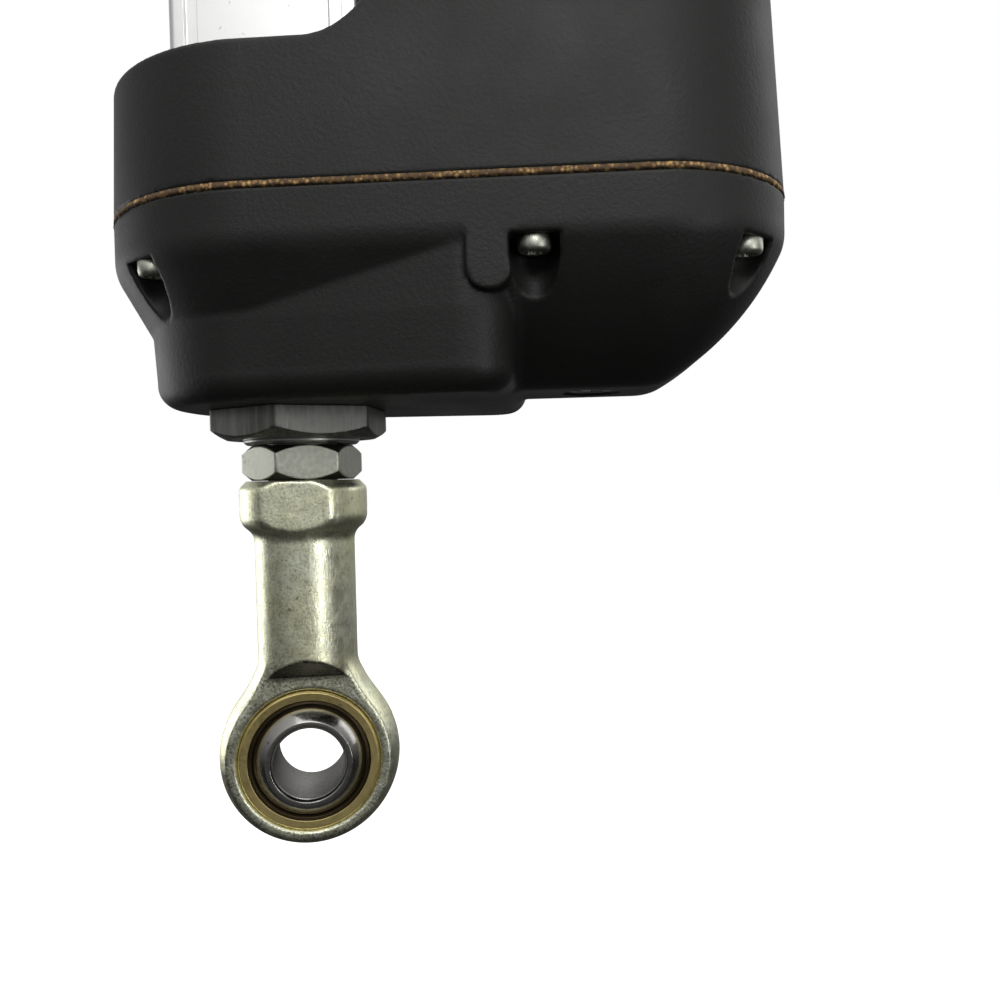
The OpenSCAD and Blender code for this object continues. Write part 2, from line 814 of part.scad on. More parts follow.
module power_cable() {
    z0 = shell_z + 10;
    bend_r = 26;
    straight = 40;
    color([0.12, 0.12, 0.12]) translate([gland_x, 0, z0]) {
        cylinder(r = cable_r, h = straight);
        translate([0, 0, straight]) rotate([90, 0, 0]) translate([bend_r, 0, 0])
            rotate([0, 0, 90]) rotate_extrude(angle = 90) translate([bend_r, 0])
                circle(r = cable_r);
    }
}

// ---------- tube, rod and nut ----------

// Square of half width h with its corners rounded to radius c
module rounded_square(h, c) {
    for (a = [0, 90]) rotate(a) translate([-h, -h + c]) square(2 * [h, h - c]);
    for (sx = [-1, 1]) for (sy = [-1, 1])
        translate([sx * (h - c), sy * (h - c)]) circle(r = c);
}

module tube_plan() {
    h = tube_w / 2;
    difference() {
        rounded_square(h, 3.5);
        // shallow grooves beside each face's middle land
        for (a = [0:90:270]) rotate(a) for (s = [-1, 1])
            translate([s * 15.4 - 1.4, h - 0.8]) square([2.8, 2]);
    }
}

module cover_tube() {
    color([0.85, 0.85, 0.86]) translate([0, 0, deck_z]) linear_extrude(tube_l) difference() {
        tube_plan();
        circle(r = bore_r);
        for (a = [0:90:270]) rotate(a) translate([bore_r - 2, -3]) square([3.2, 6]);
        for (sx = [-1, 1]) for (sy = [-1, 1])
            translate([sx * tie_at, sy * tie_at]) circle(r = 2.3);
    }
}

module tube_seal() {
    color([0.08, 0.08, 0.08]) translate([0, 0, deck_z - 1.5]) ring(bore_r - fit, bore_r - 2, 1.5);
}

module tube_end_cap() {
    h = tube_w / 2 + 0.8;
    color([0.13, 0.13, 0.14]) translate([0, 0, tube_top]) difference() {
        union() {
            linear_extrude(end_cap_h - 1.5) rounded_square(h, 4.5);
            linear_extrude(end_cap_h) rounded_square(h - 1.2, 3.6);
        }
        translate([0, 0, -1]) cylinder(r = rod_d / 2 + 0.4, h = 40);
        translate([0, 0, -1]) cylinder(r = 15, h = 5);
        translate([0, 0, end_cap_h - 5]) cylinder(r = 16, h = 10);
        at_corners(tie_at) {
            translate([0, 0, -1]) cylinder(r = 2.3, h = 40);
            translate([0, 0, end_cap_h - 4]) cylinder(r = 3.7, h = 10);
        }
    }
}

module tie_screws() {
    color("silver") at_corners(tie_at) translate([0, 0, deck_z - 11]) difference() {
        union() {
            cylinder(r = 2.1, h = end_cap_top - deck_z + 7);
            translate([0, 0, end_cap_top - deck_z + 7]) cylinder(r = 3.5, h = 3.8);
        }
        translate([0, 0, end_cap_top - deck_z + 8.5]) cylinder(r = 1.75, h = 8, $fn = 6);
    }
}

module guide_bush() {
    color("peru") translate([0, 0, tube_top - 16]) ring(bore_r - fit, rod_d / 2 + fit, 16);
}

module rod_wiper() {
    color([0.08, 0.08, 0.08]) translate([0, 0, end_cap_top - 5]) difference() {
        ring(16 - fit, rod_d / 2 + fit, 5.8);
        translate([0, 0, 1]) ring(14.5, 13.6, 8);
    }
}

module ball_nut() {
    color("lightgray") translate([0, 0, nut_z]) difference() {
        union() {
            cylinder(r = 13, h = nut_l);
            cylinder(r = 15, h = 6);
        }
        translate([0, 0, -1]) cylinder(r = screw_d / 2 + fit, h = nut_l + 2);
    }
}

module nut_guide() {
    color("white") translate([0, 0, nut_z + 6]) difference() {
        union() {
            cylinder(r = bore_r - 0.1, h = 16);
            for (a = [0:90:270]) rotate([0, 0, a]) translate([bore_r - 2, -2.9, 0])
                cube([3, 5.8, 16]);
        }
        translate([0, 0, -1]) cylinder(r = 13.02, h = 20);
    }
}

module rod_tube() {
    z0 = nut_z + nut_l;
    color("lightgray") translate([0, 0, z0 - 8]) difference() {
        union() {
            cylinder(r = 15.5, h = 12);
            cylinder(r = rod_d / 2, h = rod_top - z0 + 8);
        }
        translate([0, 0, -1]) cylinder(r = 13.02, h = 9);
        translate([0, 0, -1]) cylinder(r = rod_in_r, h = rod_top - z0 + 20);
    }
}

module rod_plug() {
    color("silver") translate([0, 0, rod_top - 26]) ring(rod_in_r - 0.02, thread_bore_r, 26);
}

rear_ball();
rear_race();
rear_rod_end();
rear_lock_nut();
rear_stud();
rear_sleeve();
rear_hex_nut();
gear_cap();
cap_gasket();
cap_screws();
hand_drive_plug();
plug_seal();
gear_housing();
bearing_circlips();
screw_bearing_outer_rings();
screw_bearing_balls();
screw_bearing_inner_rings();
screw_lock_nut();
ball_screw();
screw_key();
screw_gear();
screw_spacers();
screw_guide();
idler_axle();
idler_bush();
idler_wheel();
idler_pinion();
motor_shaft();
motor_pinion();
armature_core();
armature_windings();
commutator();
motor_bearings();
motor_can();
motor_magnets();
brush_plate();
brushes();
motor_cover();
cover_seal();
cover_screws();
cable_gland();
power_cable();
cover_tube();
tube_seal();
tube_end_cap();
tie_screws();
guide_bush();
rod_wiper();
ball_nut();
nut_guide();
rod_tube();
rod_plug();
front_stud();
front_lock_nut();
front_rod_end();
front_race();
front_ball();
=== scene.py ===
import json
import math

import bpy
import numpy as np
from mathutils import Matrix, Vector

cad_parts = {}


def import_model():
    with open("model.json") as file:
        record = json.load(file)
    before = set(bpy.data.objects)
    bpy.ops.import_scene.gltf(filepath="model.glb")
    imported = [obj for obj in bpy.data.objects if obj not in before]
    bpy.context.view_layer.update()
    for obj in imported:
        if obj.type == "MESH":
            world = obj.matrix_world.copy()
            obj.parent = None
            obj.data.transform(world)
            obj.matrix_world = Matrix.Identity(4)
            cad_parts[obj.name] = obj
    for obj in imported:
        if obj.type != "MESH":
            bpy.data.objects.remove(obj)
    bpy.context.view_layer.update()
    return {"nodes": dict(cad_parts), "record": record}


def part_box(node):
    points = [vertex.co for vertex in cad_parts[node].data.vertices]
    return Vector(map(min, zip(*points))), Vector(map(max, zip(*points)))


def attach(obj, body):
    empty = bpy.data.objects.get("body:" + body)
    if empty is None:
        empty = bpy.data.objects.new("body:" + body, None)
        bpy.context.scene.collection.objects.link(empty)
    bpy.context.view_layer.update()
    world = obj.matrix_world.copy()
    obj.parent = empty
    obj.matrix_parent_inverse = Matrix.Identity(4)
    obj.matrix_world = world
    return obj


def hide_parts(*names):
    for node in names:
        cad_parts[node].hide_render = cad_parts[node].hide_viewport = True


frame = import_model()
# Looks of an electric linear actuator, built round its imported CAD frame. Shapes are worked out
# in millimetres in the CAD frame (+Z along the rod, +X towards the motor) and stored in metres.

MM = 0.001
SCENE = bpy.context.scene
RNG = np.random.default_rng(7)


def box_mm(node):
    """A CAD node's lowest and highest corners in millimetres."""
    low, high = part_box(node)
    return np.array(low) / MM, np.array(high) / MM


def mount(name):
    return next(m for m in frame["record"]["mounts"] if m["name"] == name)


# ---- places and sizes

CAP_LOW, CAP_HIGH = box_mm("gear_cap")
GASKET_LOW, GASKET_HIGH = box_mm("cap_gasket")
HOUSING_LOW, HOUSING_HIGH = box_mm("gear_housing")
COVER_LOW, COVER_HIGH = box_mm("motor_cover")
TUBE_LOW, TUBE_HIGH = box_mm("cover_tube")
END_LOW, END_HIGH = box_mm("tube_end_cap")
ROD_LOW, ROD_HIGH = box_mm("rod_tube")
HEX_LOW, HEX_HIGH = box_mm("rear_hex_nut")
SLEEVE_LOW, SLEEVE_HIGH = box_mm("rear_sleeve")
LOCK_LOW, LOCK_HIGH = box_mm("rear_lock_nut")

HALF_W = GASKET_HIGH[1]                    # half width, and radius of the rod side
ROD_SIDE_X = GASKET_LOW[0] + HALF_W        # centre of the rod side's arc
CORNER_R = 30.0
CORNER_X = GASKET_HIGH[0] - CORNER_R
CORNER_Y = HALF_W - CORNER_R
MOTOR_X = sum(p[0] for p in box_mm("motor_pinion")) / 2
IDLER_X = MOTOR_X / 2
FOOT_Z, CAP_TOP = CAP_LOW[2], CAP_HIGH[2]
HOUSING_Z, SHELL_Z = HOUSING_LOW[2], HOUSING_HIGH[2]
DECK_Z, TUBE_TOP = TUBE_LOW[2], TUBE_HIGH[2]
COVER_Z, COVER_TOP = COVER_LOW[2], COVER_HIGH[2]
FRONT_Z = mount("front_pin_bore")["pos_m"][2] / MM
SIDE_DRAFT = math.tan(math.radians(1.8))
FAR_DRAFT = math.tan(math.radians(3.0))
SHELL_X = 26.0                             # wall of the motor shell that faces the tube
DECK_FILLET = 13.0

CAP_SCREWS = [(-21.4, 28.2), (56.2, 35.6), (97.4, 27.2)]
POCKET_TURNS = [129.0, 90.0, 56.0]         # degrees: the way each pocket opens
COVER_SCREWS = [(36.0, 30.0), (91.2, 26.4)]
POCKET_R = 4.8
POCKET_H = 14.0
POCKET_FULL_H = 10.0                       # height at which a pocket reaches POCKET_R
SEAT_Z = 109.0
BOSS_R = 7.5
COVER_SEAT_Z = SHELL_Z + 12
GLAND_X = 88.0

SKIRT_TOP = 109.3
SKIRT_LOW = 92.0
SKIRT_SLOPE = 9.0 / 16.5
SKIRT_END_X = 52.0
FOOT_MIDDLE, FOOT_R = (1.0, 1.5), 31.5
FOOT_SHOULDER, SHOULDER_R = (42.0, 29.0), 9.7
FOOT_EDGE_R = 5.0
FOOT_LEAN_Z = 86.0                         # above this the foot leans out a little
BODY_TOP = 112.0
TAB_X, TAB_Z, TAB_R = 47.6, 102.9, 4.3
DOME_START_X = 46.0
DOME_R = 57.0                              # the dome's wall is an arc in every upright section
DOME_ARC_Z = 133.4
DOME_ARC_OUT = 10.0
DOME_FLAT_Z = 82.4
WALL = 3.6

SLEEVE_HOLE_R, SLEEVE_HOLE_Z = 13.7, 90.0  # rooms and holes inside the castings
PLUG_R, PLUG_SEAT_Z = 6.3, 85.2
PLUG_THREAD_R, PLUG_THREAD_Z = 5.0, 96.0
IDLER_BOSS_R, IDLER_BOSS_Z = 7.0, 105.0
GEAR_ROOM_R, GEAR_ROOM_Z = 27.0, 128.5
BEARING_R, BEARING_Z = 16.0, 140.0
MOTOR_BEARING_R = 13.0
TUBE_BORE_R, TUBE_BORE_Z = 17.0, 143.0
CAN_ROOM_R, CAN_ROOM_Z = 33.05, 144.0
COVER_ROOM_R, COVER_ROOM_Z = 30.0, 240.0
WIPER_R = 16.0
TIE_AT, TIE_HEAD_H = 16.3, 3.8

HEAD_R, HEAD_HALF = 20.8, 7.5              # rod end: its eye
NECK_SLOPE = math.radians(26.6)
BARREL_R = 11.5
COLLAR_R, COLLAR_Z = 14.65, 51.0
COLLAR_HALF_FLAT = 12.6
COLLAR_TURN = math.radians(-6)
ROD_END_L = 64.0
BALL_R, BALL_HALF, BORE_R = 14.3, 10.5, 8.0
SEAT_R = 14.36
RACE_R = 16.0
THREAD_R = 8.0
NUT_FLATS, BIG_NUT_FLATS = 24.0, 36.0
ROD_R = 12.5
CABLE_R, CABLE_BEND_R = 3.5, 26.0


# ---- shape functions
# Each takes coordinate arrays in millimetres and returns a signed distance, negative inside.


def smooth_min(a, b, k):
    h = np.clip(0.5 + 0.5 * (b - a) / k, 0, 1)
    return b + (a - b) * h - k * h * (1 - h)


def smooth_max(a, b, k):
    return -smooth_min(-a, -b, k)


def round_max(a, b, r):
    """Intersection whose edge is a true arc of radius r."""
    return np.minimum(np.maximum(a, b), -r) + np.hypot(np.maximum(a + r, 0), np.maximum(b + r, 0))


def round_min(a, b, r):
    """Union whose inner corner is a true arc of radius r."""
    return -round_max(-a, -b, r)


def upright(x, y, cx, cy, r):
    return np.hypot(x - cx, y - cy) - r


def box_2d(x, y, cx, cy, hx, hy, r=0.0):
    qx, qy = np.abs(x - cx) - hx + r, np.abs(y - cy) - hy + r
    return np.hypot(np.maximum(qx, 0), np.maximum(qy, 0)) + np.minimum(np.maximum(qx, qy), 0) - r


def plan(x, y, corner_x):
    """Outline of the housing: a half circle about the rod and two wide corners at the far end."""
    left = np.hypot(x - ROD_SIDE_X, y) - HALF_W
    qx, qy = x - corner_x, np.abs(y) - CORNER_Y
    right = np.hypot(np.maximum(qx, 0), np.maximum(qy, 0)) + np.minimum(np.maximum(qx, qy), 0)
    return np.where(x < ROD_SIDE_X, left, right - CORNER_R)


def wedge_plan(x, y, c1, r1, c2, r2):
    """Outline round two mirrored pairs of circles: c1 on the left, the wider apart c2 on the right."""
    ay = np.abs(y)
    dx, dy = c2[0] - c1[0], c2[1] - c1[1]
    turn = math.atan2(dy, dx) + math.acos((r1 - r2) / math.hypot(dx, dy))
    nx, ny = math.cos(turn), math.sin(turn)
    flat = np.maximum(c1[0] - r1 - x, x - c2[0] - r2)
    flat = np.maximum(flat, (x - c1[0]) * nx + (ay - c1[1]) * ny - r1)
    for (cx, cy), r, side in ((c1, r1, -1), (c2, r2, 1)):
        up = (ay - cy) / ny
        out = side * ((x - cx) - up * nx)
        flat = np.where((up > 0) & (out > 0), np.hypot(x - cx, ay - cy) - r, flat)
    return flat


def cap_outside(x, y, z, spread=0.0):
    """Outer body of the gear cap: band, sloping skirt, foot and dome, with no holes. Where the
    skirt's side and the dome's side overlap, spread widens the overlap."""
    band = plan(x, y, CORNER_X)
    skirt = (band + SKIRT_SLOPE * (SKIRT_TOP - z)) / math.hypot(1, SKIRT_SLOPE)
    left = smooth_max(np.maximum(band, SKIRT_LOW - z), skirt, 1.2)
    left = np.maximum(left, x - SKIRT_END_X - spread)

    arc = np.sqrt(np.maximum(DOME_R ** 2 - (DOME_ARC_Z - z) ** 2, 1.0))
    inset = HALF_W + DOME_ARC_OUT - arc
    dome = (plan(x, y, CORNER_X - 0.7) + inset + 1.5) * np.clip(arc / DOME_R, 0.3, 1)
    dome = smooth_max(dome, band, 0.8)
    dome = smooth_max(dome, DOME_FLAT_Z - z, 1.5)
    dome = np.maximum(dome, DOME_START_X - spread - x)

    foot = wedge_plan(x, y, FOOT_MIDDLE, FOOT_R, FOOT_SHOULDER, SHOULDER_R)
    foot = round_max(foot - np.clip((z - FOOT_LEAN_Z) * 0.06, 0, 0.6), FOOT_Z - z, FOOT_EDGE_R)
    foot = np.maximum(np.maximum(foot, band), z - BODY_TOP)

    body = smooth_min(smooth_min(left, foot, 0.3), dome, 2.0)
    tab = np.maximum(np.hypot(x - TAB_X, np.minimum(z - TAB_Z, 0)) - TAB_R, z - BODY_TOP)
    tab = np.maximum(np.maximum(tab, band), HALF_W - 12 - np.abs(y))
    return np.maximum(smooth_min(body, tab, 0.2), band)


def cap_shape(x, y, z):
    ay = np.abs(y)
    pockets, bosses = np.full_like(x, 1e3), np.full_like(x, 1e3)
    for (cx, cy), turn in zip(CAP_SCREWS, POCKET_TURNS):
        c, s = math.cos(math.radians(turn)), math.sin(math.radians(turn))
        along, across = (x - cx) * c + (ay - cy) * s, (ay - cy) * c - (x - cx) * s
        size = POCKET_R * np.sqrt(np.clip(z - SEAT_Z + POCKET_H, 0, POCKET_H) / POCKET_FULL_H)
        slot = np.hypot(np.minimum(along, 0), across) - np.minimum(size, POCKET_R)
        slot = np.maximum(slot, SEAT_Z - POCKET_H - z)
        pockets = np.minimum(pockets, np.maximum(slot, z - SEAT_Z))
        bosses = np.minimum(bosses, upright(x, ay, cx, cy, BOSS_R))
    idler_boss = np.maximum(upright(x, y, IDLER_X, 0, IDLER_BOSS_R), z - IDLER_BOSS_Z)
    bosses = np.minimum(bosses, idler_boss)
    room = np.maximum(cap_outside(x, y, z, spread=9.0) + WALL, -bosses)
    room = np.minimum(room, np.maximum(plan(x, y, CORNER_X) + WALL, CAP_TOP - 3 - z))
    sleeve = np.maximum(upright(x, y, 0, 0, SLEEVE_HOLE_R), z - SLEEVE_HOLE_Z)
    plug = np.maximum(upright(x, y, MOTOR_X, 0, PLUG_R), z - PLUG_SEAT_Z)
    thread = np.maximum(upright(x, y, MOTOR_X, 0, PLUG_THREAD_R), z - PLUG_THREAD_Z)
    solid = np.maximum(round_max(cap_outside(x, y, z), z - CAP_TOP, 0.2), -room)
    solid = smooth_max(solid, -pockets, 0.6)
    return smooth_max(solid, -np.minimum(sleeve, np.minimum(plug, thread)), 0.5)


def drafted_plan(x, y, z):
    """The housing's outline at height z, drawn in by the draft of its walls."""
    rise = z - HOUSING_Z
    return plan(x, y, CORNER_X - rise * (FAR_DRAFT - SIDE_DRAFT)) + rise * SIDE_DRAFT


def left_wall(x, z):
    return SHELL_X + (z - DECK_Z) * SIDE_DRAFT - x


def housing_shape(x, y, z):
    step = round_min(z - DECK_Z, left_wall(x, z), DECK_FILLET)
    edge = 0.9 + 3.1 * np.clip((z - DECK_Z - 2) / 12, 0, 1)
    solid = round_max(drafted_plan(x, y, z), step, edge)
    solid = round_max(solid, HOUSING_Z - z, 0.2)
    solid = np.maximum(solid, z - SHELL_Z)
    half = TUBE_HIGH[0] + 0.2
    foot = np.maximum(box_2d(x, y, 0, 0, half, half, 3.7), DECK_Z - z)
    bore = np.maximum(upright(x, y, 0, 0, TUBE_BORE_R), TUBE_BORE_Z - z)
    can = np.maximum(upright(x, y, MOTOR_X, 0, CAN_ROOM_R), CAN_ROOM_Z - z)
    gears = np.hypot(x - np.clip(x, 0, MOTOR_X), y) - GEAR_ROOM_R
    gears = np.maximum(gears, z - GEAR_ROOM_Z)
    bearings = np.maximum(upright(x, y, 0, 0, BEARING_R), z - BEARING_Z)
    seat = np.maximum(z - CAN_ROOM_Z - 2, GEAR_ROOM_Z + 1.5 - z)
    bearings = np.minimum(bearings, np.maximum(upright(x, y, MOTOR_X, 0, MOTOR_BEARING_R), seat))
    cuts = np.minimum(np.minimum(foot, bore), np.minimum(can, gears))
    return smooth_max(solid, -np.minimum(cuts, bearings), 0.5)


def cover_shape(x, y, z):
    side = round_max(drafted_plan(x, y, z), left_wall(x, z), 4.0)
    solid = round_max(side, z - COVER_TOP, 9.0)
    solid = round_max(solid, COVER_Z - z, 0.5)
    ay = np.abs(y)
    for cx, cy in COVER_SCREWS:
        pocket = np.minimum(np.maximum(upright(x, ay, cx, cy, 3.6), COVER_SEAT_Z - z),
                            upright(x, ay, cx, cy, 2.0))
        solid = smooth_max(solid, -pocket, 0.6)
    room = np.minimum(np.maximum(upright(x, y, MOTOR_X, 0, COVER_ROOM_R), z - COVER_ROOM_Z),
                      np.maximum(upright(x, y, MOTOR_X, 0, MOTOR_BEARING_R), z - COVER_ROOM_Z - 8))
    return smooth_max(solid, -np.minimum(room, upright(x, y, GLAND_X, 0, 6.0)), 0.5)


def end_cap_shape(x, y, z):
    half = END_HIGH[0]
    solid = round_max(box_2d(x, y, 0, 0, half, half, 4.5), z - END_HIGH[2], 1.5)
    solid = round_max(solid, END_LOW[2] - z, 0.4)
    ax, ay = np.abs(x), np.abs(y)
    cuts = np.minimum(upright(x, y, 0, 0, ROD_R + 0.4),
                      np.maximum(upright(x, y, 0, 0, WIPER_R), END_HIGH[2] - 5 - z))
    head = np.maximum(upright(ax, ay, TIE_AT, TIE_AT, 3.7), END_HIGH[2] - 4 - z)
    cuts = np.minimum(np.minimum(cuts, head), upright(ax, ay, TIE_AT, TIE_AT, 2.3))
    return smooth_max(solid, -cuts, 0.5)


def rod_end_shape(x, y, z):
    """Forged rod end about its own bore axis +Y, barrel along +Z."""
    ay = np.abs(y)
    chord = np.sqrt(np.maximum(BARREL_R ** 2 - ay ** 2, 9.0))
    lean = 1 / np.hypot(1, np.clip(ay / chord, 0, 1))
    neck = np.abs(x) * math.cos(NECK_SLOPE) + z * math.sin(NECK_SLOPE) - 19.9
    neck = np.maximum(neck, np.maximum(9 - z, z - 26))
    head = smooth_min(np.hypot(x, z) - HEAD_R, neck, 1.5)
    head = (head + (BARREL_R - chord) * 0.85) * lean
    head = round_max(head, ay - HEAD_HALF, 0.45)

    around = np.hypot(x, y)
    barrel = np.maximum(around - BARREL_R, z - COLLAR_Z - 4)
    ramp = (19.3 + (ay - HEAD_HALF) * 1.05 - z) / 1.45
    barrel = np.maximum(barrel, np.where(ay > HEAD_HALF - 2, ramp, 17 - z))
    collar = round_max(around - COLLAR_R, (COLLAR_Z + 0.8 + (around - BARREL_R) * 0.75 - z) * 0.8, 1.5)
    collar = smooth_max(collar, (z + around - ROD_END_L - COLLAR_R + 1.7) * 0.707, 0.6)
    collar = np.maximum(collar, z - ROD_END_L)
    flat = np.abs(y * math.cos(COLLAR_TURN) - x * math.sin(COLLAR_TURN)) - COLLAR_HALF_FLAT
    collar = smooth_max(collar, flat, 0.5)
    solid = smooth_min(smooth_min(barrel, collar, 1.6), head, 0.8)

    seat = np.hypot(x, z)
    seat = np.minimum(seat - RACE_R - 0.05, (seat - RACE_R - 0.7 + (HEAD_HALF - ay)) * 0.707)
    hole = np.minimum(seat, np.maximum(around - THREAD_R - 0.05, 28 - z))
    return np.maximum(solid, -hole)


# ---- meshing


def surface_net(shape, low, high, step):
    """Vertices and quads of the surface where shape() is zero, in millimetres."""
    axes = [np.arange(a - 1.5 * step, b + 2.5 * step, step) for a, b in zip(low, high)]
    f = shape(*np.meshgrid(*axes, indexing="ij"))
    cells = tuple(n - 1 for n in f.shape)
    quads, owners, points = [], [], []
    for axis in range(3):
        cut = [slice(None)] * 3
        cut[axis] = slice(0, -1)
        before = f[tuple(cut)]
        cut[axis] = slice(1, None)
        after = f[tuple(cut)]
        hit = np.argwhere((before < 0) != (after < 0))
        others = [o for o in range(3) if o != axis]
        hit = hit[np.all([(hit[:, o] > 0) & (hit[:, o] < f.shape[o] - 1) for o in others], axis=0)]
        fa, fb = before[tuple(hit.T)], after[tuple(hit.T)]
        point = hit.astype(float)
        point[:, axis] += fa / (fa - fb)
        corners = []
        for back in ((0, 0), (1, 0), (1, 1), (0, 1)):
            cell = hit.copy()
            cell[:, others] -= back
            corners.append(np.ravel_multi_index(tuple(cell.T), cells))
            owners.append(corners[-1])
            points.append(point)
        quad = np.stack(corners, 1)
        flip = (fa < 0) == (axis == 1)
        quad[flip] = quad[flip][:, ::-1]
        quads.append(quad)
    owners, points = np.concatenate(owners), np.concatenate(points)
    used, index = np.unique(owners, return_inverse=True)
    count = np.bincount(index)
    middle = np.stack([np.bincount(index, points[:, i]) / count for i in range(3)], 1)
    place = np.zeros(int(np.prod(cells)), np.int64)
    place[used] = np.arange(len(used))
    return middle * step + np.array([a[0] for a in axes]), place[np.concatenate(quads)]


def onto_surface(points, shape, step):
    """Moves points along the gradient onto the surface, at most half a grid step."""
    h = step * 0.2
    x, y, z = points.T
    grad = np.stack([shape(x + h, y, z) - shape(x - h, y, z),
                     shape(x, y + h, z) - shape(x, y - h, z),
                     shape(x, y, z + h) - shape(x, y, z - h)], 1) / (2 * h)
    move = -(shape(x, y, z) / np.maximum((grad ** 2).sum(1), 0.25))[:, None] * grad
    return points + np.clip(move, -step / 2, step / 2)


def relax(points, quads, shape, step, rounds=3):
    """Evens out the vertices along the surface, and puts each back on it."""
    starts, ends = quads.T.ravel(), np.roll(quads, -1, axis=1).T.ravel()
    a, b = np.concatenate([starts, ends]), np.concatenate([ends, starts])
    count = np.bincount(a, minlength=len(points))[:, None]
    for _ in range(rounds):
        near = np.stack([np.bincount(a, points[b, i], len(points)) for i in range(3)], 1) / count
        points = points + 0.6 * (near - points)
        for _ in range(2):
            points = onto_surface(points, shape, step)
    return points


def sculpted(shape, low, high, step, rounds=3):
    """A skin over a shape function, as (points, quads)."""
    points, quads = surface_net(shape, low, high, step)
    return relax(points, quads, shape, step, rounds), quads


def loft(loops, closed=False):
    """A skin over loops of equally many points. Closed joins the last loop to the first."""
    count, n = len(loops), len(loops[0])
    spans = count if closed else count - 1
    i = np.arange(n)
    j = (i + 1) % n
    faces = []
    for a in range(spans):
        b = (a + 1) % count
        faces += np.stack([a * n + i, a * n + j, b * n + j, b * n + i], 1).tolist()
    if not closed:
        faces += [i[::-1].tolist(), (i + (count - 1) * n).tolist()]
    return np.concatenate(loops), faces


def rounded(points, radius, closed=True, steps=4):
    """A polyline with arcs for corners. A third number on a point is its own radius."""
    out = []
    for i, p in enumerate(points):
        here = np.array(p[:2], float)
        r = p[2] if len(p) > 2 else radius
        if r <= 0 or (not closed and i in (0, len(points) - 1)):
            out.append(here)
            continue
        a = np.array(points[i - 1][:2], float) - here
        b = np.array(points[(i + 1) % len(points)][:2], float) - here
        la, lb = np.hypot(*a), np.hypot(*b)
        half = math.acos(np.clip(a @ b / (la * lb), -1, 1)) / 2
        cut = min(r / math.tan(half), 0.45 * la, 0.45 * lb)
        r = cut * math.tan(half)
        middle = a / la + b / lb
        centre = here + middle / np.hypot(*middle) * r / math.sin(half)
        start, end = here + a / la * cut - centre, here + b / lb * cut - centre
        sweep = math.pi - 2 * half
        for t in np.linspace(0, 1, steps + 1):
            out.append(centre + (start * math.sin((1 - t) * sweep) + end * math.sin(t * sweep))
                       / math.sin(sweep))
    return out


def circle_loop(r, z, n, wave=None):
    """A level loop. wave(angle) multiplies its radius."""
    angle = np.linspace(0, 2 * math.pi, n, endpoint=False)
    r = r * (wave(angle) if wave else np.ones(n))
    return np.stack([r * np.cos(angle), r * np.sin(angle), np.full(n, z)], 1)


def lathe(profile, n=144):
    """Turns (r, z) points about the Z axis. They run outwards at the bottom, up, and back."""
    return loft([circle_loop(r, z, n) for r, z in profile], closed=True)


def moved(solid, matrix=None, at=(0, 0, 0)):
    points = solid[0] if matrix is None else solid[0] @ np.array(matrix).T
    return points + np.array(at, float), solid[1]


def turned(degrees):
    a = math.radians(degrees)
    return [[math.cos(a), -math.sin(a), 0], [math.sin(a), math.cos(a), 0], [0, 0, 1]]


ALONG_Y = [[1, 0, 0], [0, 0, 1], [0, -1, 0]]        # turns the Z axis onto Y
UPSIDE_DOWN = [[1, 0, 0], [0, -1, 0], [0, 0, -1]]


def faces_within(solid, r):
    """Mask of the faces whose middle is less than r from the Z axis."""
    points = solid[0]
    return np.array([np.hypot(*points[list(face)].mean(0)[:2]) < r for face in solid[1]])


def piece(name, solids, material, nodes, body="housing", crisp=True, second=None):
    """Joins solids into one named object that rides on body and stands for CAD nodes. second
    is (material, mask of the faces that wear it)."""
    points, faces, start = [], [], 0
    for p, f in solids:
        points.append(p)
        if isinstance(f, np.ndarray):
            f = f.tolist()
        faces += [[i + start for i in face] for face in f] if start else f
        start += len(p)
    mesh = bpy.data.meshes.new(name)
    mesh.from_pydata((np.concatenate(points) * MM).tolist(), [], faces)
    mesh.polygons.foreach_set("use_smooth", np.ones(len(mesh.polygons), bool))
    mesh.materials.append(MATERIALS[material])
    if second:
        mesh.materials.append(MATERIALS[second[0]])
        mesh.polygons.foreach_set("material_index", second[1].astype(np.int32))
    mesh.validate()
    obj = bpy.data.objects.new(name, mesh)
    SCENE.collection.objects.link(obj)
    if crisp:
        weighted = obj.modifiers.new("face_normals", "WEIGHTED_NORMAL")
        weighted.weight = 90
    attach(obj, body)
    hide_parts(*nodes)
    return obj


# ---- materials

EVEN, AROUND, ALONG, GRAIN = (1, 1, 1), (1, 1, 0.08), (0.12, 0.12, 9), (0.7, 0.7, 9)


class Nodes:
    """A node tree under construction."""

    def __init__(self, owner):
        owner.use_nodes = True
        self.tree = owner.node_tree

    def node(self, kind, **inputs):
        node = self.tree.nodes.new(kind)
        for key, value in inputs.items():
            self.put(node.inputs[key.replace("_", " ")], value)
        return node

    def put(self, socket, value):
        if isinstance(value, bpy.types.NodeSocket):
            self.tree.links.new(value, socket)
        else:
            socket.default_value = value

    def ramp(self, value, low, high, out_low=0.0, out_high=1.0):
        return self.node("ShaderNodeMapRange", Value=value, From_Min=low, From_Max=high,
                         To_Min=out_low, To_Max=out_high).outputs[0]

    def maths(self, operation, a, b=0.0):
        node = self.node("ShaderNodeMath")
        node.operation = operation
        self.put(node.inputs[0], a)
        self.put(node.inputs[1], b)
        return node.outputs[0]

    def either(self, factor, a, b):
        """Shader a where factor is 0 and shader b where it is 1."""
        node = self.node("ShaderNodeMixShader", Fac=factor)
        self.put(node.inputs[1], a.outputs[0])
        self.put(node.inputs[2], b.outputs[0])
        return node.outputs[0]


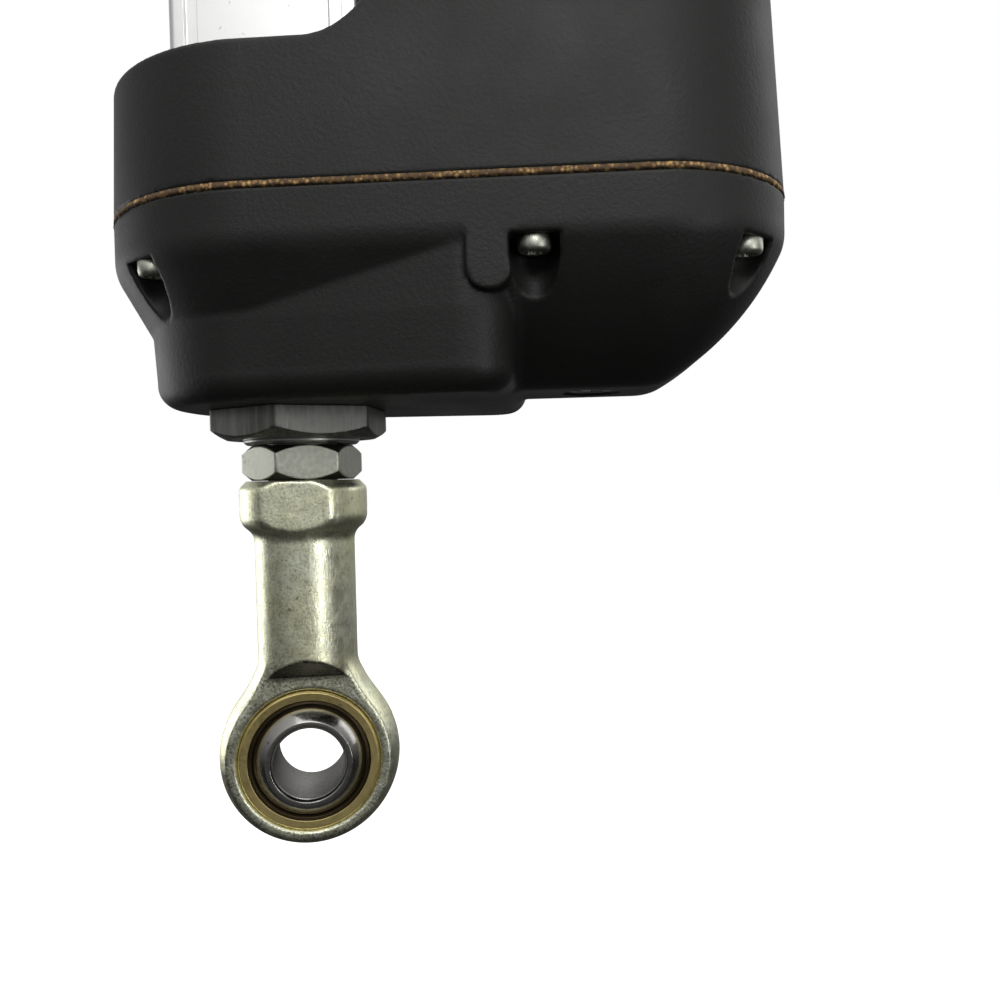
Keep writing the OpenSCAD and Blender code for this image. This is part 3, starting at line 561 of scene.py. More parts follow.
class Shader(Nodes):
    """A material's nodes. Object coordinates are in metres in the CAD frame."""

    def __init__(self, name):
        self.material = bpy.data.materials.new(name)
        super().__init__(self.material)
        self.bsdf = self.tree.nodes["Principled BSDF"]
        self.coords = self.node("ShaderNodeTexCoord").outputs["Object"]

    def noise(self, size_mm, detail=3.0, stretch=EVEN, roughness=0.55):
        """Noise whose lumps are about size_mm across, longer along an axis with a high stretch."""
        mapping = self.node("ShaderNodeMapping", Vector=self.coords)
        mapping.inputs["Scale"].default_value = [1 / s for s in stretch]
        noise = self.node("ShaderNodeTexNoise", Vector=mapping.outputs[0], Scale=0.6 / (size_mm * MM),
                          Detail=detail, Roughness=roughness)
        return noise.outputs["Fac"]

    def mix(self, factor, a, b):
        node = self.tree.nodes.new("ShaderNodeMix")
        node.data_type = "RGBA"
        self.put(node.inputs[0], factor)
        for socket, value in ((node.inputs[6], a), (node.inputs[7], b)):
            self.put(socket, value if isinstance(value, bpy.types.NodeSocket) else (*value, 1))
        return node.outputs[2]

    def bump(self, height, depth_mm, strength=1.0, normal=None):
        node = self.node("ShaderNodeBump", Height=height, Strength=strength, Distance=depth_mm * MM)
        if normal is not None:
            self.put(node.inputs["Normal"], normal)
        return node.outputs[0]

    def edges(self, radius_mm):
        """Mask that is 1 on convex edges, where a finish wears."""
        bevel = self.node("ShaderNodeBevel", Radius=radius_mm * MM)
        geometry = self.node("ShaderNodeNewGeometry")
        dot = self.node("ShaderNodeVectorMath")
        dot.operation = "DOT_PRODUCT"
        self.put(dot.inputs[0], bevel.outputs[0])
        self.put(dot.inputs[1], geometry.outputs["Normal"])
        return self.ramp(dot.outputs["Value"], 0.995, 0.9)

    def times(self, a, b):
        return self.maths("MULTIPLY", a, b)

    def facing(self, axis, low, high, out_low, out_high, both_ways=False):
        """A value that goes from out_low to out_high as the surface turns to face along axis."""
        split = self.node("ShaderNodeSeparateXYZ", Vector=self.coords.node.outputs["Normal"])
        along = split.outputs[axis]
        if both_ways:
            along = self.maths("ABSOLUTE", along)
        return self.ramp(along, low, high, out_low, out_high)

    def away_from(self, z_mm, low_mm, high_mm, out_low, out_high):
        """A value that goes from out_low to out_high with the height's distance from z_mm."""
        split = self.node("ShaderNodeSeparateXYZ", Vector=self.coords)
        gap = self.maths("ABSOLUTE", self.maths("SUBTRACT", split.outputs["Z"], z_mm * MM))
        return self.ramp(gap, low_mm * MM, high_mm * MM, out_low, out_high)

    def done(self, colour, roughness, metallic=0.0, normal=None, **extra):
        self.put(self.bsdf.inputs["Base Color"],
                 colour if isinstance(colour, bpy.types.NodeSocket) else (*colour, 1))
        self.put(self.bsdf.inputs["Roughness"], roughness)
        self.put(self.bsdf.inputs["Metallic"], metallic)
        if normal is not None:
            self.put(self.bsdf.inputs["Normal"], normal)
        for key, value in extra.items():
            self.put(self.bsdf.inputs[key.replace("_", " ")], value)
        return self.material


def shade(colour, factor, most=math.inf):
    return tuple(min(c * factor, most) for c in colour)


def metal(name, colour, roughness, grain_mm, depth_mm, stretch=EVEN, dirt=0.15, streak=0.0):
    """Machined or plated metal: a cut pattern in bump and gloss, broad stains and small specks.
    streak brings the cut pattern out in the colour too."""
    s = Shader(name)
    cut = s.noise(grain_mm, 4.0, stretch)
    stain = s.noise(9, 3.0)
    tone = s.mix(s.ramp(stain, 0.35, 0.65), shade(colour, 1 - dirt), colour)
    if streak:
        tone = s.mix(s.ramp(cut, 0.42, 0.66, 0.0, streak), tone, shade(colour, 1.6, 0.95))
    speck = s.ramp(s.noise(1.3, 2.0), 0.70, 0.76, 0.0, 0.6)
    tone = s.mix(speck, tone, shade(colour, 0.35))
    gloss = s.ramp(cut, 0.3, 0.7, roughness - 0.07, roughness + 0.09)
    return s.done(tone, gloss, 1.0, s.bump(cut, depth_mm))


def blasted(name, colour, roughness):
    """Zinc on a shot-blasted forging: coarse and dull on the eye's faces, finer and brighter on
    the barrel, the collar and the eye's sides. Faces turned downward also get the darker coarse
    colour, as painted shade."""
    s = Shader(name)
    middle = FRONT_Z / 2
    in_eye = s.away_from(middle, middle - 24, middle - 19, 0.5, 1.0)
    flat = s.facing("Y", 0.55, 0.85, 0.3, 1.0, both_ways=True)
    # coarse is partly real blasting on the eye's faces, partly painted shade on faces turned downward.
    coarse = s.times(in_eye, s.maths("MAXIMUM", flat, s.facing("Z", -0.75, -0.35, 1.0, 0.3)))
    pits = s.noise(0.34, 2.0, roughness=0.6)
    lumps = s.noise(1.6, 3.0)
    drawn = s.noise(0.38, 3.0, (1, 1, 3), roughness=0.65)
    fine = s.ramp(coarse, 0.4, 0.9, 1.0, 0.0)
    warm = tuple(np.array(colour) * (1.0, 0.98, 0.86))
    tone = s.mix(s.ramp(s.noise(8), 0.4, 0.6), warm, colour)
    # Darker where coarse: the blasted eye faces, and painted shade on faces turned downward.
    tone = s.mix(s.ramp(coarse, 0.5, 0.95, 0.0, 0.6), tone, shade(colour, 0.4))
    tone = s.mix(s.times(coarse, s.ramp(pits, 0.5, 0.32, 0.0, 0.9)), tone, shade(colour, 0.22))
    bright = shade(colour, 1.5, 0.95)
    tone = s.mix(s.times(coarse, s.ramp(pits, 0.56, 0.68, 0.0, 0.8)), tone, bright)
    tone = s.mix(s.ramp(s.noise(1.2), 0.69, 0.74, 0.0, 0.6), tone, (0.05, 0.05, 0.04))
    tone = s.mix(s.times(fine, s.ramp(drawn, 0.48, 0.36, 0.0, 0.35)), tone, shade(colour, 0.4))
    gloss = s.ramp(lumps, 0.3, 0.7, roughness - 0.06, roughness + 0.1)
    rough = s.bump(pits, 0.08, coarse, s.bump(drawn, 0.07, fine))
    return s.done(tone, gloss, 1.0, s.bump(lumps, 0.05, s.times(coarse, 0.6), rough))


def painted(name, colour, roughness, grain_mm, depth_mm):
    """Coating or moulded plastic: fine orange peel, mottled gloss and paler rubbed edges."""
    s = Shader(name)
    grain = s.noise(grain_mm, 3.0, roughness=0.6)
    mottle = s.noise(11, 3.0)
    tone = s.mix(s.ramp(mottle, 0.35, 0.65), shade(colour, 0.82), colour)
    tone = s.mix(s.ramp(grain, 0.62, 0.75, 0.0, 0.35), tone, shade(colour, 2.2))
    rub = s.times(s.edges(0.6), s.ramp(s.noise(2.5), 0.52, 0.68, 0.0, 0.5))
    tone = s.mix(rub, tone, (0.10, 0.10, 0.10))
    gloss = s.ramp(mottle, 0.3, 0.7, roughness - 0.05, roughness + 0.06)
    return s.done(tone, gloss, 0.0, s.bump(grain, depth_mm), Specular_IOR_Level=0.34)


def cork(name):
    """Cork and rubber sheet: tan granules with darker binder between them."""
    s = Shader(name)
    cells = s.node("ShaderNodeTexVoronoi", Vector=s.coords, Scale=1 / (0.9 * MM))
    bits = s.ramp(cells.outputs["Distance"], 0.25, 0.6)
    tone = s.mix(s.ramp(s.noise(1.1, 2.0), 0.42, 0.6), (0.16, 0.09, 0.03), (0.62, 0.38, 0.14))
    tone = s.mix(bits, tone, (0.10, 0.06, 0.03))
    tone = s.mix(s.ramp(s.noise(3.0), 0.62, 0.72), tone, (0.02, 0.016, 0.012))
    return s.done(tone, 0.85, 0.0, s.bump(cells.outputs["Distance"], 0.2))


def make_materials():
    """One material for each slot of the record, and four more for single faces: the ball's
    bore, the race's inner bevel, the jam nuts' chamfers and the step above a rod end's eye. These
    four are dark copies of their metals, as painted shade."""
    metals = {
        "chrome_ball": ((0.46, 0.45, 0.43), 0.17, 0.3, 0.001, EVEN, 0.08),
        "brass_race": ((0.80, 0.65, 0.28), 0.36, 0.5, 0.006, EVEN, 0.25),
        # Dark steel for the ball's bore: painted shade.
        "ball_bore_shade": ((0.16, 0.155, 0.145), 0.42, 0.5, 0.008, EVEN, 0.3),
        # Dark brass for the race's inner bevel: painted shade.
        "race_bevel_shade": ((0.10, 0.075, 0.04), 0.40, 0.5, 0.008, EVEN, 0.4),
        # Dark zinc for the jam nuts' chamfers: painted shade.
        "nut_chamfer_shade": ((0.10, 0.10, 0.09), 0.45, 0.5, 0.01, EVEN, 0.3),
        "zinc_bright": ((0.50, 0.51, 0.44), 0.44, 0.6, 0.02, EVEN, 0.15, 0.35),
        "turned_steel": ((0.42, 0.42, 0.41), 0.38, 0.5, 0.012, AROUND),
        "dark_nut_steel": ((0.19, 0.19, 0.18), 0.50, 1.2, 0.06, GRAIN, 0.35, 0.8),
        "anodised_extrusion": ((0.86, 0.86, 0.85), 0.40, 0.6, 0.006, ALONG, 0.03),
        "bearing_steel": ((0.60, 0.60, 0.60), 0.22, 0.4, 0.003, AROUND),
        "gear_steel": ((0.38, 0.37, 0.36), 0.36, 0.5, 0.010),
        "bronze": ((0.48, 0.30, 0.14), 0.42, 0.5, 0.012),
        "lamination_steel": ((0.28, 0.28, 0.30), 0.44, 0.5, 0.05, (8, 8, 0.5)),
        "copper": ((0.62, 0.24, 0.10), 0.34, 0.9, 0.05, (4, 4, 0.6)),
        "chromed_rod": ((0.70, 0.70, 0.70), 0.12, 0.5, 0.001, AROUND, 0.04),
    }
    coats = {
        "black_powder_coat": ((0.0125, 0.0140, 0.0118), 0.52, 0.5, 0.09),
        "black_rubber": ((0.02, 0.02, 0.02), 0.75, 0.8, 0.02),
        "black_plastic": ((0.022, 0.022, 0.023), 0.52, 0.7, 0.02),
        "white_polymer": ((0.62, 0.61, 0.57), 0.42, 0.9, 0.01),
        "ferrite": ((0.05, 0.05, 0.055), 0.62, 1.0, 0.03),
        "phenolic": ((0.17, 0.07, 0.025), 0.5, 1.4, 0.02),
        "carbon": ((0.03, 0.03, 0.03), 0.45, 0.6, 0.02),
    }
    made = {name: metal(name, *values) for name, values in metals.items()}
    made.update({name: painted(name, *values) for name, values in coats.items()})
    made["zinc_forging"] = blasted("zinc_forging", (0.94, 0.96, 0.75), 0.37)
    # A dark copy of the zinc for the step above each eye, which faces down: painted shade.
    made["forging_step_shade"] = blasted("forging_step_shade", (0.13, 0.13, 0.11), 0.45)
    made["cork_composite"] = cork("cork_composite")
    return made


def dress_cad_nodes():
    """Gives each CAD node that stays visible the material of its slot in the record."""
    slots = {part["node"]: part["material_slot"] for part in frame["record"]["subparts"]}
    for name, obj in frame["nodes"].items():
        obj.data.materials.clear()
        obj.data.materials.append(MATERIALS[slots[name]])


# ---- pieces


def castings():
    far_x = CORNER_X + CORNER_R
    fine, coarse = ((0.6, 0.8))
    for name, node, shape, low, high, step in (
            ("gear_cap_casting", "gear_cap", cap_shape,
             (-HALF_W, -HALF_W, FOOT_Z), (far_x, HALF_W, CAP_TOP), fine),
            ("gear_housing_casting", "gear_housing", housing_shape,
             (-HALF_W, -HALF_W, HOUSING_Z), (far_x, HALF_W, SHELL_Z), coarse),
            ("motor_cover_casting", "motor_cover", cover_shape,
             (SHELL_X, -HALF_W, COVER_Z), (far_x, HALF_W, COVER_TOP), 0.8),
            ("tube_end_casting", "tube_end_cap", end_cap_shape, END_LOW, END_HIGH, 0.7)):
        piece(name, [sculpted(shape, low, high, step)], "black_powder_coat", [node], crisp=False)


def plan_loop(inset, z, jitter=0.0, n=160):
    """The housing's outline as a level loop, with a ragged edge up to jitter deep."""
    r1, r2 = HALF_W - inset, CORNER_R - inset
    left = np.linspace(math.pi / 2, 3 * math.pi / 2, n)
    right = np.linspace(-math.pi / 2, 0, n // 2)
    flat = np.linspace(ROD_SIDE_X, CORNER_X, n // 2)[1:-1]
    end = np.linspace(-CORNER_Y, CORNER_Y, n // 6)[1:-1]
    parts = [
        (ROD_SIDE_X + r1 * np.cos(left), r1 * np.sin(left)),
        (flat, np.full_like(flat, -r1)),
        (CORNER_X + r2 * np.cos(right), -CORNER_Y + r2 * np.sin(right)),
        (np.full_like(end, CORNER_X + r2), end),
        (CORNER_X + r2 * np.cos(right + math.pi / 2), CORNER_Y + r2 * np.sin(right + math.pi / 2)),
        (flat[::-1], np.full_like(flat, r1)),
    ]
    x, y = np.concatenate([p[0] for p in parts]), np.concatenate([p[1] for p in parts])
    middle = 34.0
    scale = 1 + RNG.uniform(-jitter, jitter, len(x)) / np.hypot(x - middle, y)
    return np.stack([middle + (x - middle) * scale, y * scale, np.full(len(x), z)], 1)


def gasket():
    low, high = GASKET_LOW[2] - 0.15, GASKET_HIGH[2] + 0.15
    middle = (low + high) / 2
    loops = [plan_loop(0.0, low, 0.06), plan_loop(-0.12, middle, 0.1), plan_loop(0.0, high, 0.06),
             plan_loop(12, high), plan_loop(12, low)]
    piece("cork_gasket", [loft(loops, closed=True)], "cork_composite", ["cap_gasket"])


def hexagon(half_flat, corner_r):
    """Radius of a hexagon with rounded corners, as a function of the angle."""
    def radius(angle):
        phi = np.abs((angle + math.pi / 6) % (math.pi / 3) - math.pi / 6)
        centre = (half_flat - corner_r) / math.cos(math.pi / 6)
        off = math.pi / 6 - phi
        arc = centre * np.cos(off) + np.sqrt(np.maximum(corner_r ** 2 - (centre * np.sin(off)) ** 2, 0))
        flat = half_flat / np.cos(phi)
        is_flat = half_flat * np.tan(phi) < (half_flat - corner_r) * math.tan(math.pi / 6)
        return np.where(is_flat, flat, arc)
    return radius


def hex_nut(across_flats, low, high, bore_r, steep, face, top=True, n=288):
    """A hexagon nut. Its chamfers, steep degrees from level and starting at face times half the
    width across flats, meet the flats in their true curves. Without top it has no upper one."""
    angle = np.linspace(0, 2 * math.pi, n, endpoint=False)
    side = hexagon(across_flats / 2, 0.45)(angle)
    face_r = across_flats / 2 * face
    slope = math.tan(math.radians(steep))
    ring = np.stack([np.cos(angle), np.sin(angle)], 1)

    def level(r, z):
        r, z = np.broadcast_to(r, n), np.broadcast_to(z, n)
        return np.column_stack([ring * r[:, None], z])

    def end(z, up, cut):
        inner = face_r if cut else side - 0.25
        loops = [level(bore_r + 0.8, z), level(inner - 0.3, z), level(inner - 0.05, z - up * 0.02)]
        if not cut:
            return loops + [level(side, z - up * 0.25)]
        edge = np.maximum((side - face_r) * slope, 0.02)
        return loops + [level(side - inset, z - up * (edge + drop))
                        for inset, drop in ((0.26, -0.15), (0.07, -0.02), (0, 0.14))]

    loops = [level(bore_r, low + 0.8)] + end(low, -1, True)
    loops += [level(side, low * 0.6 + high * 0.4), level(side, low * 0.4 + high * 0.6)]
    loops += end(high, 1, top)[::-1] + [level(bore_r, high - 0.8)]
    return loft(loops, closed=True)


def ball_solid():
    r, half, bore = BALL_R, BALL_HALF, BORE_R
    flat_r = math.sqrt(r * r - half * half)
    arc = [(r * math.cos(a), r * math.sin(a))
           for a in np.linspace(-math.acos(flat_r / r), math.acos(flat_r / r), 61)][1:-1]
    edge = rounded([(bore, half - 0.7, 0.15), (bore + 0.6, half, 0.15), (flat_r, half, 0.2),
                    (arc[-1][0], arc[-1][1])], 0.1, closed=False, steps=3)[1:-1]
    profile = [(p[0], -p[1]) for p in edge] + arc + [tuple(p) for p in edge[::-1]]
    profile += [(bore, half - 1.0), (bore, 0), (bore, 1.0 - half)]
    return lathe(profile, n=192)


def race_solid():
    """Outer ring of the spherical bearing with its bright lip and the inner seat. In rod_ends its
    faces near the bore get a dark copy of the brass, as painted shade.
    """
    lip, inner = HEAD_HALF + 0.02, 12.8
    side = [(inner, lip - 1.0, 0.1), (13.35, lip - 0.25, 0.15), (13.6, lip - 0.75, 0.1),
            (13.9, lip - 0.1, 0.15), (15.5, lip, 0.2), (RACE_R - 0.03, lip - 0.5, 0.2)]
    seat = [(math.sqrt(SEAT_R ** 2 - z * z), z) for z in np.linspace(lip - 1.2, 1.2 - lip, 21)]
    half = rounded([(12.4, lip - 1.6)] + side + [(RACE_R - 0.03, 0)], 0.1, closed=False, steps=3)
    profile = [(p[0], -p[1]) for p in half[1:-1]] + [tuple(p) for p in half[::-1][1:-1]]
    return lathe(profile + seat, n=192)


def rod_ends():
    forging = sculpted(rod_end_shape, (-HEAD_R, -COLLAR_R, -HEAD_R), (HEAD_R, COLLAR_R, ROD_END_L),
                       0.42)
    ball, race = ball_solid(), race_solid()
    x, y, z = np.stack([forging[0][forging[1][:, i]] for i in range(4)]).mean(0).T
    # The step above the eye faces down and forward; it wears a dark copy of the zinc as painted shade.
    step = (np.abs(y) > HEAD_HALF + 0.25) & (z > 18.5) & (z < 23.6)
    step &= np.hypot(x, y) < BARREL_R - 0.08
    # The ball's bore and the race's faces near it wear dark copies of their metals as painted shade.
    bore, bevel = faces_within(ball, BORE_R + 0.1), faces_within(race, 13.8)
    axis = mount("rear_pin_bore")["axis"]
    turn = math.degrees(math.atan2(-axis[0], axis[1]))
    for end, matrix, lift, body in (("rear", turned(turn), 0.0, "housing"),
                                    ("front", UPSIDE_DOWN, FRONT_Z, "rod")):
        at = (0, 0, lift)
        piece(end + "_rod_end_forging", [moved(forging, matrix, at)], "zinc_forging",
              [end + "_rod_end"], body, crisp=False, second=("forging_step_shade", step))
        piece(end + "_spherical_ball", [moved(moved(ball, ALONG_Y), matrix, at)], "chrome_ball",
              [end + "_ball"], end + "_ball", second=("ball_bore_shade", bore))
        piece(end + "_brass_race", [moved(moved(race, ALONG_Y), matrix, at)], "brass_race",
              [end + "_race"], body, second=("race_bevel_shade", bevel))


def chamfers(nut, across_flats):
    """Mask of a nut's chamfer faces: off the end faces, and off the flats."""
    points, faces = nut
    low, high = points[:, 2].min(), points[:, 2].max()
    mask = []
    for face in faces:
        p = points[list(face)]
        end_gap = min(p[:, 2].min() - low, high - p[:, 2].max())
        mask.append(np.hypot(p[:, 0], p[:, 1]).min() > across_flats / 2 * 0.97
                    and np.ptp(p[:, 2]) > 0.02 and end_gap < 0.1)
    return np.array(mask)


def nuts():
    """Jam nuts, each a little clear of its rod end, and the large nut of the sleeve."""
    front_low, front_high = box_mm("front_lock_nut")
    for end, low, high, turn, body in (
            ("rear", LOCK_LOW[2] + 0.1, LOCK_HIGH[2], 51, "housing"),
            ("front", front_low[2], front_high[2] - 0.1, 30, "rod")):
        nut = hex_nut(NUT_FLATS, low, high, THREAD_R + 0.05, 42, 0.975)
        # The chamfers wear a dark copy of the zinc as painted shade.
        piece(end + "_jam_nut", [moved(nut, turned(turn))], "zinc_bright",
              [end + "_lock_nut"], body, second=("nut_chamfer_shade", chamfers(nut, NUT_FLATS)))
    big = hex_nut(BIG_NUT_FLATS, HEX_LOW[2], HEX_HIGH[2], 13.5, 30, 0.95, top=False)
    piece("sleeve_hex_nut", [big], "dark_nut_steel", ["rear_hex_nut"])


def sleeve():
    """Threaded neck through the large nut, and above it a flange with the bearing's seat."""
    z0, r, top = SLEEVE_LOW[2], SLEEVE_HIGH[0], SLEEVE_HIGH[2]
    neck, lip = 13.45, 16.9
    profile = rounded([
        (THREAD_R + 0.9, z0), (neck - 0.9, z0), (neck - 0.25, z0 + 0.5),
        (neck - 0.25, z0 + 0.9, 0.05), (neck, z0 + 1.2), (neck, 84, 0.6), (r, 84), (r, top),
        (lip, top), (lip, top - 2), (BEARING_R, top - 2), (BEARING_R, 92), (13, 92), (13, 87),
        (THREAD_R + 0.05, 85), (THREAD_R + 0.05, z0 + 0.8)], 0.25)
    piece("threaded_sleeve", [lathe(profile)], "turned_steel", ["rear_sleeve"])


def lobes(points, depth):
    return lambda angle: 1 + depth * np.cos(points * angle)


def pan_screw(head_r, head_h, shank_r, length, socket_r, lobed):
    """Screw with its head's face at -head_h and its shank up to length. The socket is a six
    lobed star or a hexagon."""
    wave = lobes(6, 0.13) if lobed else hexagon(1.0, 0.08)
    n = 96
    socket = [(socket_r * 0.3, 2.0 - head_h), (socket_r, 2.0 - head_h), (socket_r, 0.12 - head_h),
              (socket_r + 0.12, -head_h)]
    head = [(head_r - 1.0, -head_h), (head_r - 0.55, 0.08 - head_h), (head_r - 0.22, 0.3 - head_h),
            (head_r - 0.05, 0.75 - head_h), (head_r, 1.2 - head_h), (head_r, -0.15),
            (head_r - 0.15, 0)]
    shank = [(shank_r, 0.0), (shank_r, length - 0.6), (shank_r - 0.6, length)]
    return loft([circle_loop(r, z, n, wave) for r, z in socket]
                + [circle_loop(r, z, n) for r, z in head + shank])


def placed(solid, spots, z, matrix=None):
    """Copies of a solid at (x, +y) and (x, -y) of each spot, each turned a little."""
    out = []
    for k, (x, y) in enumerate(spots):
        for side in (1, -1):
            spun = moved(solid, turned(37 * k + 11 * side))
            out.append(moved(spun, matrix, (x, side * y, z)))
    return out


def screws():
    cap = pan_screw(3.25, 3.0, 2.0, 22.0, 1.55, lobed=True)
    piece("cap_screw_set", placed(cap, CAP_SCREWS, SEAT_Z), "zinc_bright", ["cap_screws"])
    cover = pan_screw(3.2, 3.0, 1.75, 22.0, 1.5, lobed=True)
    piece("cover_screw_set", placed(cover, COVER_SCREWS, COVER_SEAT_Z, UPSIDE_DOWN), "zinc_bright",
          ["cover_screws"])
    low, high = box_mm("tie_screws")
    tie = pan_screw(3.5, TIE_HEAD_H, 2.1, high[2] - low[2] - TIE_HEAD_H, 1.75, lobed=False)
    spots = [(TIE_AT, TIE_AT), (-TIE_AT, TIE_AT)]
    piece("tie_screw_set", placed(tie, spots, high[2] - TIE_HEAD_H, UPSIDE_DOWN), "zinc_bright",
          ["tie_screws"])


def tube():
    """Square extrusion: rounded corners, two shallow grooves in each face, bright cut ends."""
    half, corner, groove, depth = TUBE_HIGH[0], 3.5, 1.4, 0.8
    side = [(half, -half, corner)]
    for at in (-15.4, 15.4):
        side += [(half, at - groove, 0.12), (half - depth, at - groove + 0.1, 0.12),
                 (half - depth, at + groove - 0.1, 0.12), (half, at + groove, 0.12)]
    outline = []
    for c, s in ((1, 0), (0, 1), (-1, 0), (0, -1)):
        outline += [(x * c - y * s, x * s + y * c, r) for x, y, r in side]
    outer = np.array(rounded(outline, corner, steps=8))
    angle = np.arctan2(outer[:, 1], outer[:, 0])
    inner = TUBE_BORE_R * np.stack([np.cos(angle), np.sin(angle)], 1)

    def level(xy, z, inset=0.0):
        return np.column_stack([xy * (1 - inset / half), np.full(len(xy), z)])

    low, high, edge = DECK_Z + 0.02, TUBE_TOP - 0.02, 0.3
    loops = [level(inner, low), level(outer, low, edge), level(outer, low + edge),
             level(outer, high - edge), level(outer, high, edge), level(inner, high)]
    piece("square_tube", [loft(loops, closed=True)], "anodised_extrusion", ["cover_tube"])


def rod_and_wiper():
    """Hollow rod with a foot that holds the ball nut, and the rubber wiper at the tube's end."""
    r, bore, socket, foot = ROD_R, 10.02, 13.02, 15.5
    low, high = ROD_LOW[2], ROD_HIGH[2] - 0.1
    profile = rounded([(socket, low), (foot, low), (foot, low + 12), (r, low + 12, 0.4),
                       (r, high, 0.6), (bore, high), (bore, low + 8), (socket, low + 8)], 0.3)
    piece("sliding_rod", [lathe(profile, n=192)], "chromed_rod", ["rod_tube"], "rod")
    (_, _, base), (_, _, top) = box_mm("rod_wiper")
    out = WIPER_R - 0.05
    profile = rounded([(r + 0.6, base), (out, base), (out, top - 0.6), (14.6, top - 0.6, 0.3),
                       (14.0, top - 2.2, 0.4), (13.4, top, 0.2), (12.75, top, 0.15),
                       (r + 0.06, top - 1.2, 0.1), (r + 0.6, top - 2.6, 0.3)], 0.25)
    piece("wiper_lip", [lathe(profile, n=160)], "black_rubber", ["rod_wiper"])


def gland():
    """Cable gland: hexagon base, ribbed dome nut and a rubber lip round the cable."""
    (_, _, low), (_, _, top) = box_mm("cable_gland")
    bore, neck, flat = CABLE_R + 0.08, 5.9, 10.0 * math.cos(math.pi / 6)
    base, nut = COVER_TOP, COVER_TOP + 6.0
    hexa = hexagon(1.0, 0.06)

    def ribs(angle):
        return 1 - 0.045 * np.clip(np.cos(14 * angle) * 2.2, -1, 1)

    rings = [(bore, low, None), (neck, low, None), (neck, base, None),
             (flat - 0.5, base, hexa), (flat, base + 0.4, hexa), (flat, nut - 0.7, hexa),
             (flat - 0.6, nut - 0.1, hexa), (8.0, nut, None), (8.2, nut + 0.3, ribs),
             (8.3, nut + 5.0, ribs), (7.9, nut + 6.4, ribs)]
    rings += [(r, top - drop, None) for r, drop in ((7.5, 2.6), (6.9, 1.1), (6.2, 0.3), (5.4, 0),
                                                    (4.9, 0.3), (4.6, 1.1), (bore, 1.2))]
    solid = loft([circle_loop(r, z, 240, wave) for r, z, wave in rings], closed=True)
    piece("cable_gland_nut", [moved(solid, turned(30), (GLAND_X, 0, 0))], "black_plastic",
          ["cable_gland"])


def cable():
    """Round cable swept up from the gland and over, away from the tube."""
    low, high = box_mm("power_cable")
    z0, bend = low[2], CABLE_BEND_R
    straight = high[2] - z0 - CABLE_R - bend
    spine = [(0, z, 0) for z in np.linspace(0, straight, 12)]
    spine += [(bend - bend * math.cos(a), straight + bend * math.sin(a), a)
              for a in np.linspace(0, math.pi / 2, 25)[1:]]
    ring = np.linspace(0, 2 * math.pi, 48, endpoint=False)
    loops = []
    for k, (sx, sz, tilt) in enumerate(spine):
        size = CABLE_R * (1.0 - 0.004 * (k % 2))
        loops.append(np.stack([sx + size * np.cos(ring) * math.cos(tilt), size * np.sin(ring),
                               sz - size * np.cos(ring) * math.sin(tilt)], 1))
    last = loops[-1]
    centre = last.mean(0)
    loops[-1] = last - np.array([0.3, 0, 0])
    loops.append(centre + (last - centre) * 0.9)
    piece("cable_lead", [moved(loft(loops), at=(GLAND_X, 0, z0))], "black_rubber", ["power_cable"])


def plug():
    """Screw plug over the hand drive, with a hexagon socket."""
    z = box_mm("hand_drive_plug")[0][2]
    n = 96
    wave = hexagon(1.0, 0.06)
    loops = [circle_loop(r, z + up, n, wave) for r, up in ((0.8, 3.4), (2.9, 3.4), (2.9, 0.3),
                                                           (3.2, 0))]
    loops += [circle_loop(r, z + up, n) for r, up in ((5.2, 0), (5.7, 0.15), (5.95, 0.6),
                                                      (5.95, 2.2), (4.9, 2.25), (4.9, 7.4),
                                                      (4.4, 8.0))]
    piece("hand_drive_screw_plug", [moved(loft(loops), at=(MOTOR_X, 0, 0))], "turned_steel",
          ["hand_drive_plug"])


# ---- stage, light and camera

CAMERA_AT = (59.91, -207.67, 63.63)        # millimetres
CAMERA_YAW = -0.06641                      # radians
CAMERA_PITCH = -0.02525
CAMERA_ROLL = -0.02367
LENS_MM = 32.4
LIT_POINT = (0.03, 0, 0.08)                # metres
FLOOR_Z, FLOOR_HALF = -0.12, 6.0


def camera():
    data = bpy.data.cameras.new("camera")
    data.sensor_width, data.lens = 36.0, LENS_MM
    data.clip_start, data.clip_end = 0.01, 20.0
    obj = bpy.data.objects.new("camera", data)
    SCENE.collection.objects.link(obj)
    sy, cy = math.sin(CAMERA_YAW), math.cos(CAMERA_YAW)
    sp, cp = math.sin(CAMERA_PITCH), math.cos(CAMERA_PITCH)
    ahead, right, up = Vector((sy, cy, 0)), Vector((cy, -sy, 0)), Vector((0, 0, 1))
    ahead, up = ahead * cp + up * sp, up * cp - ahead * sp
    roll = math.cos(CAMERA_ROLL), math.sin(CAMERA_ROLL)
    right, up = right * roll[0] + up * roll[1], up * roll[0] - right * roll[1]
    turn = Matrix((right, up, -ahead)).transposed()
    obj.matrix_world = Matrix.Translation(Vector(CAMERA_AT) * MM) @ turn.to_4x4()
    SCENE.camera = obj


def softbox(name, azimuth, elevation, distance, width, height, watts):
    """A soft rectangular light, distance metres from LIT_POINT and facing it. Azimuth 0 is in
    front, and 90 is on the motor's side."""
    a, e = math.radians(azimuth), math.radians(elevation)
    back = Vector((math.sin(a) * math.cos(e), -math.cos(a) * math.cos(e), math.sin(e)))
    light = bpy.data.lights.new(name, "AREA")
    light.shape, light.size, light.size_y = "RECTANGLE", width, height
    light.energy = watts
    obj = bpy.data.objects.new(name, light)
    obj.location = Vector(LIT_POINT) + back * distance
    obj.rotation_mode = "QUATERNION"
    obj.rotation_quaternion = (-back).to_track_quat("-Z", "Y")
    obj.visible_camera = False
    SCENE.collection.objects.link(obj)


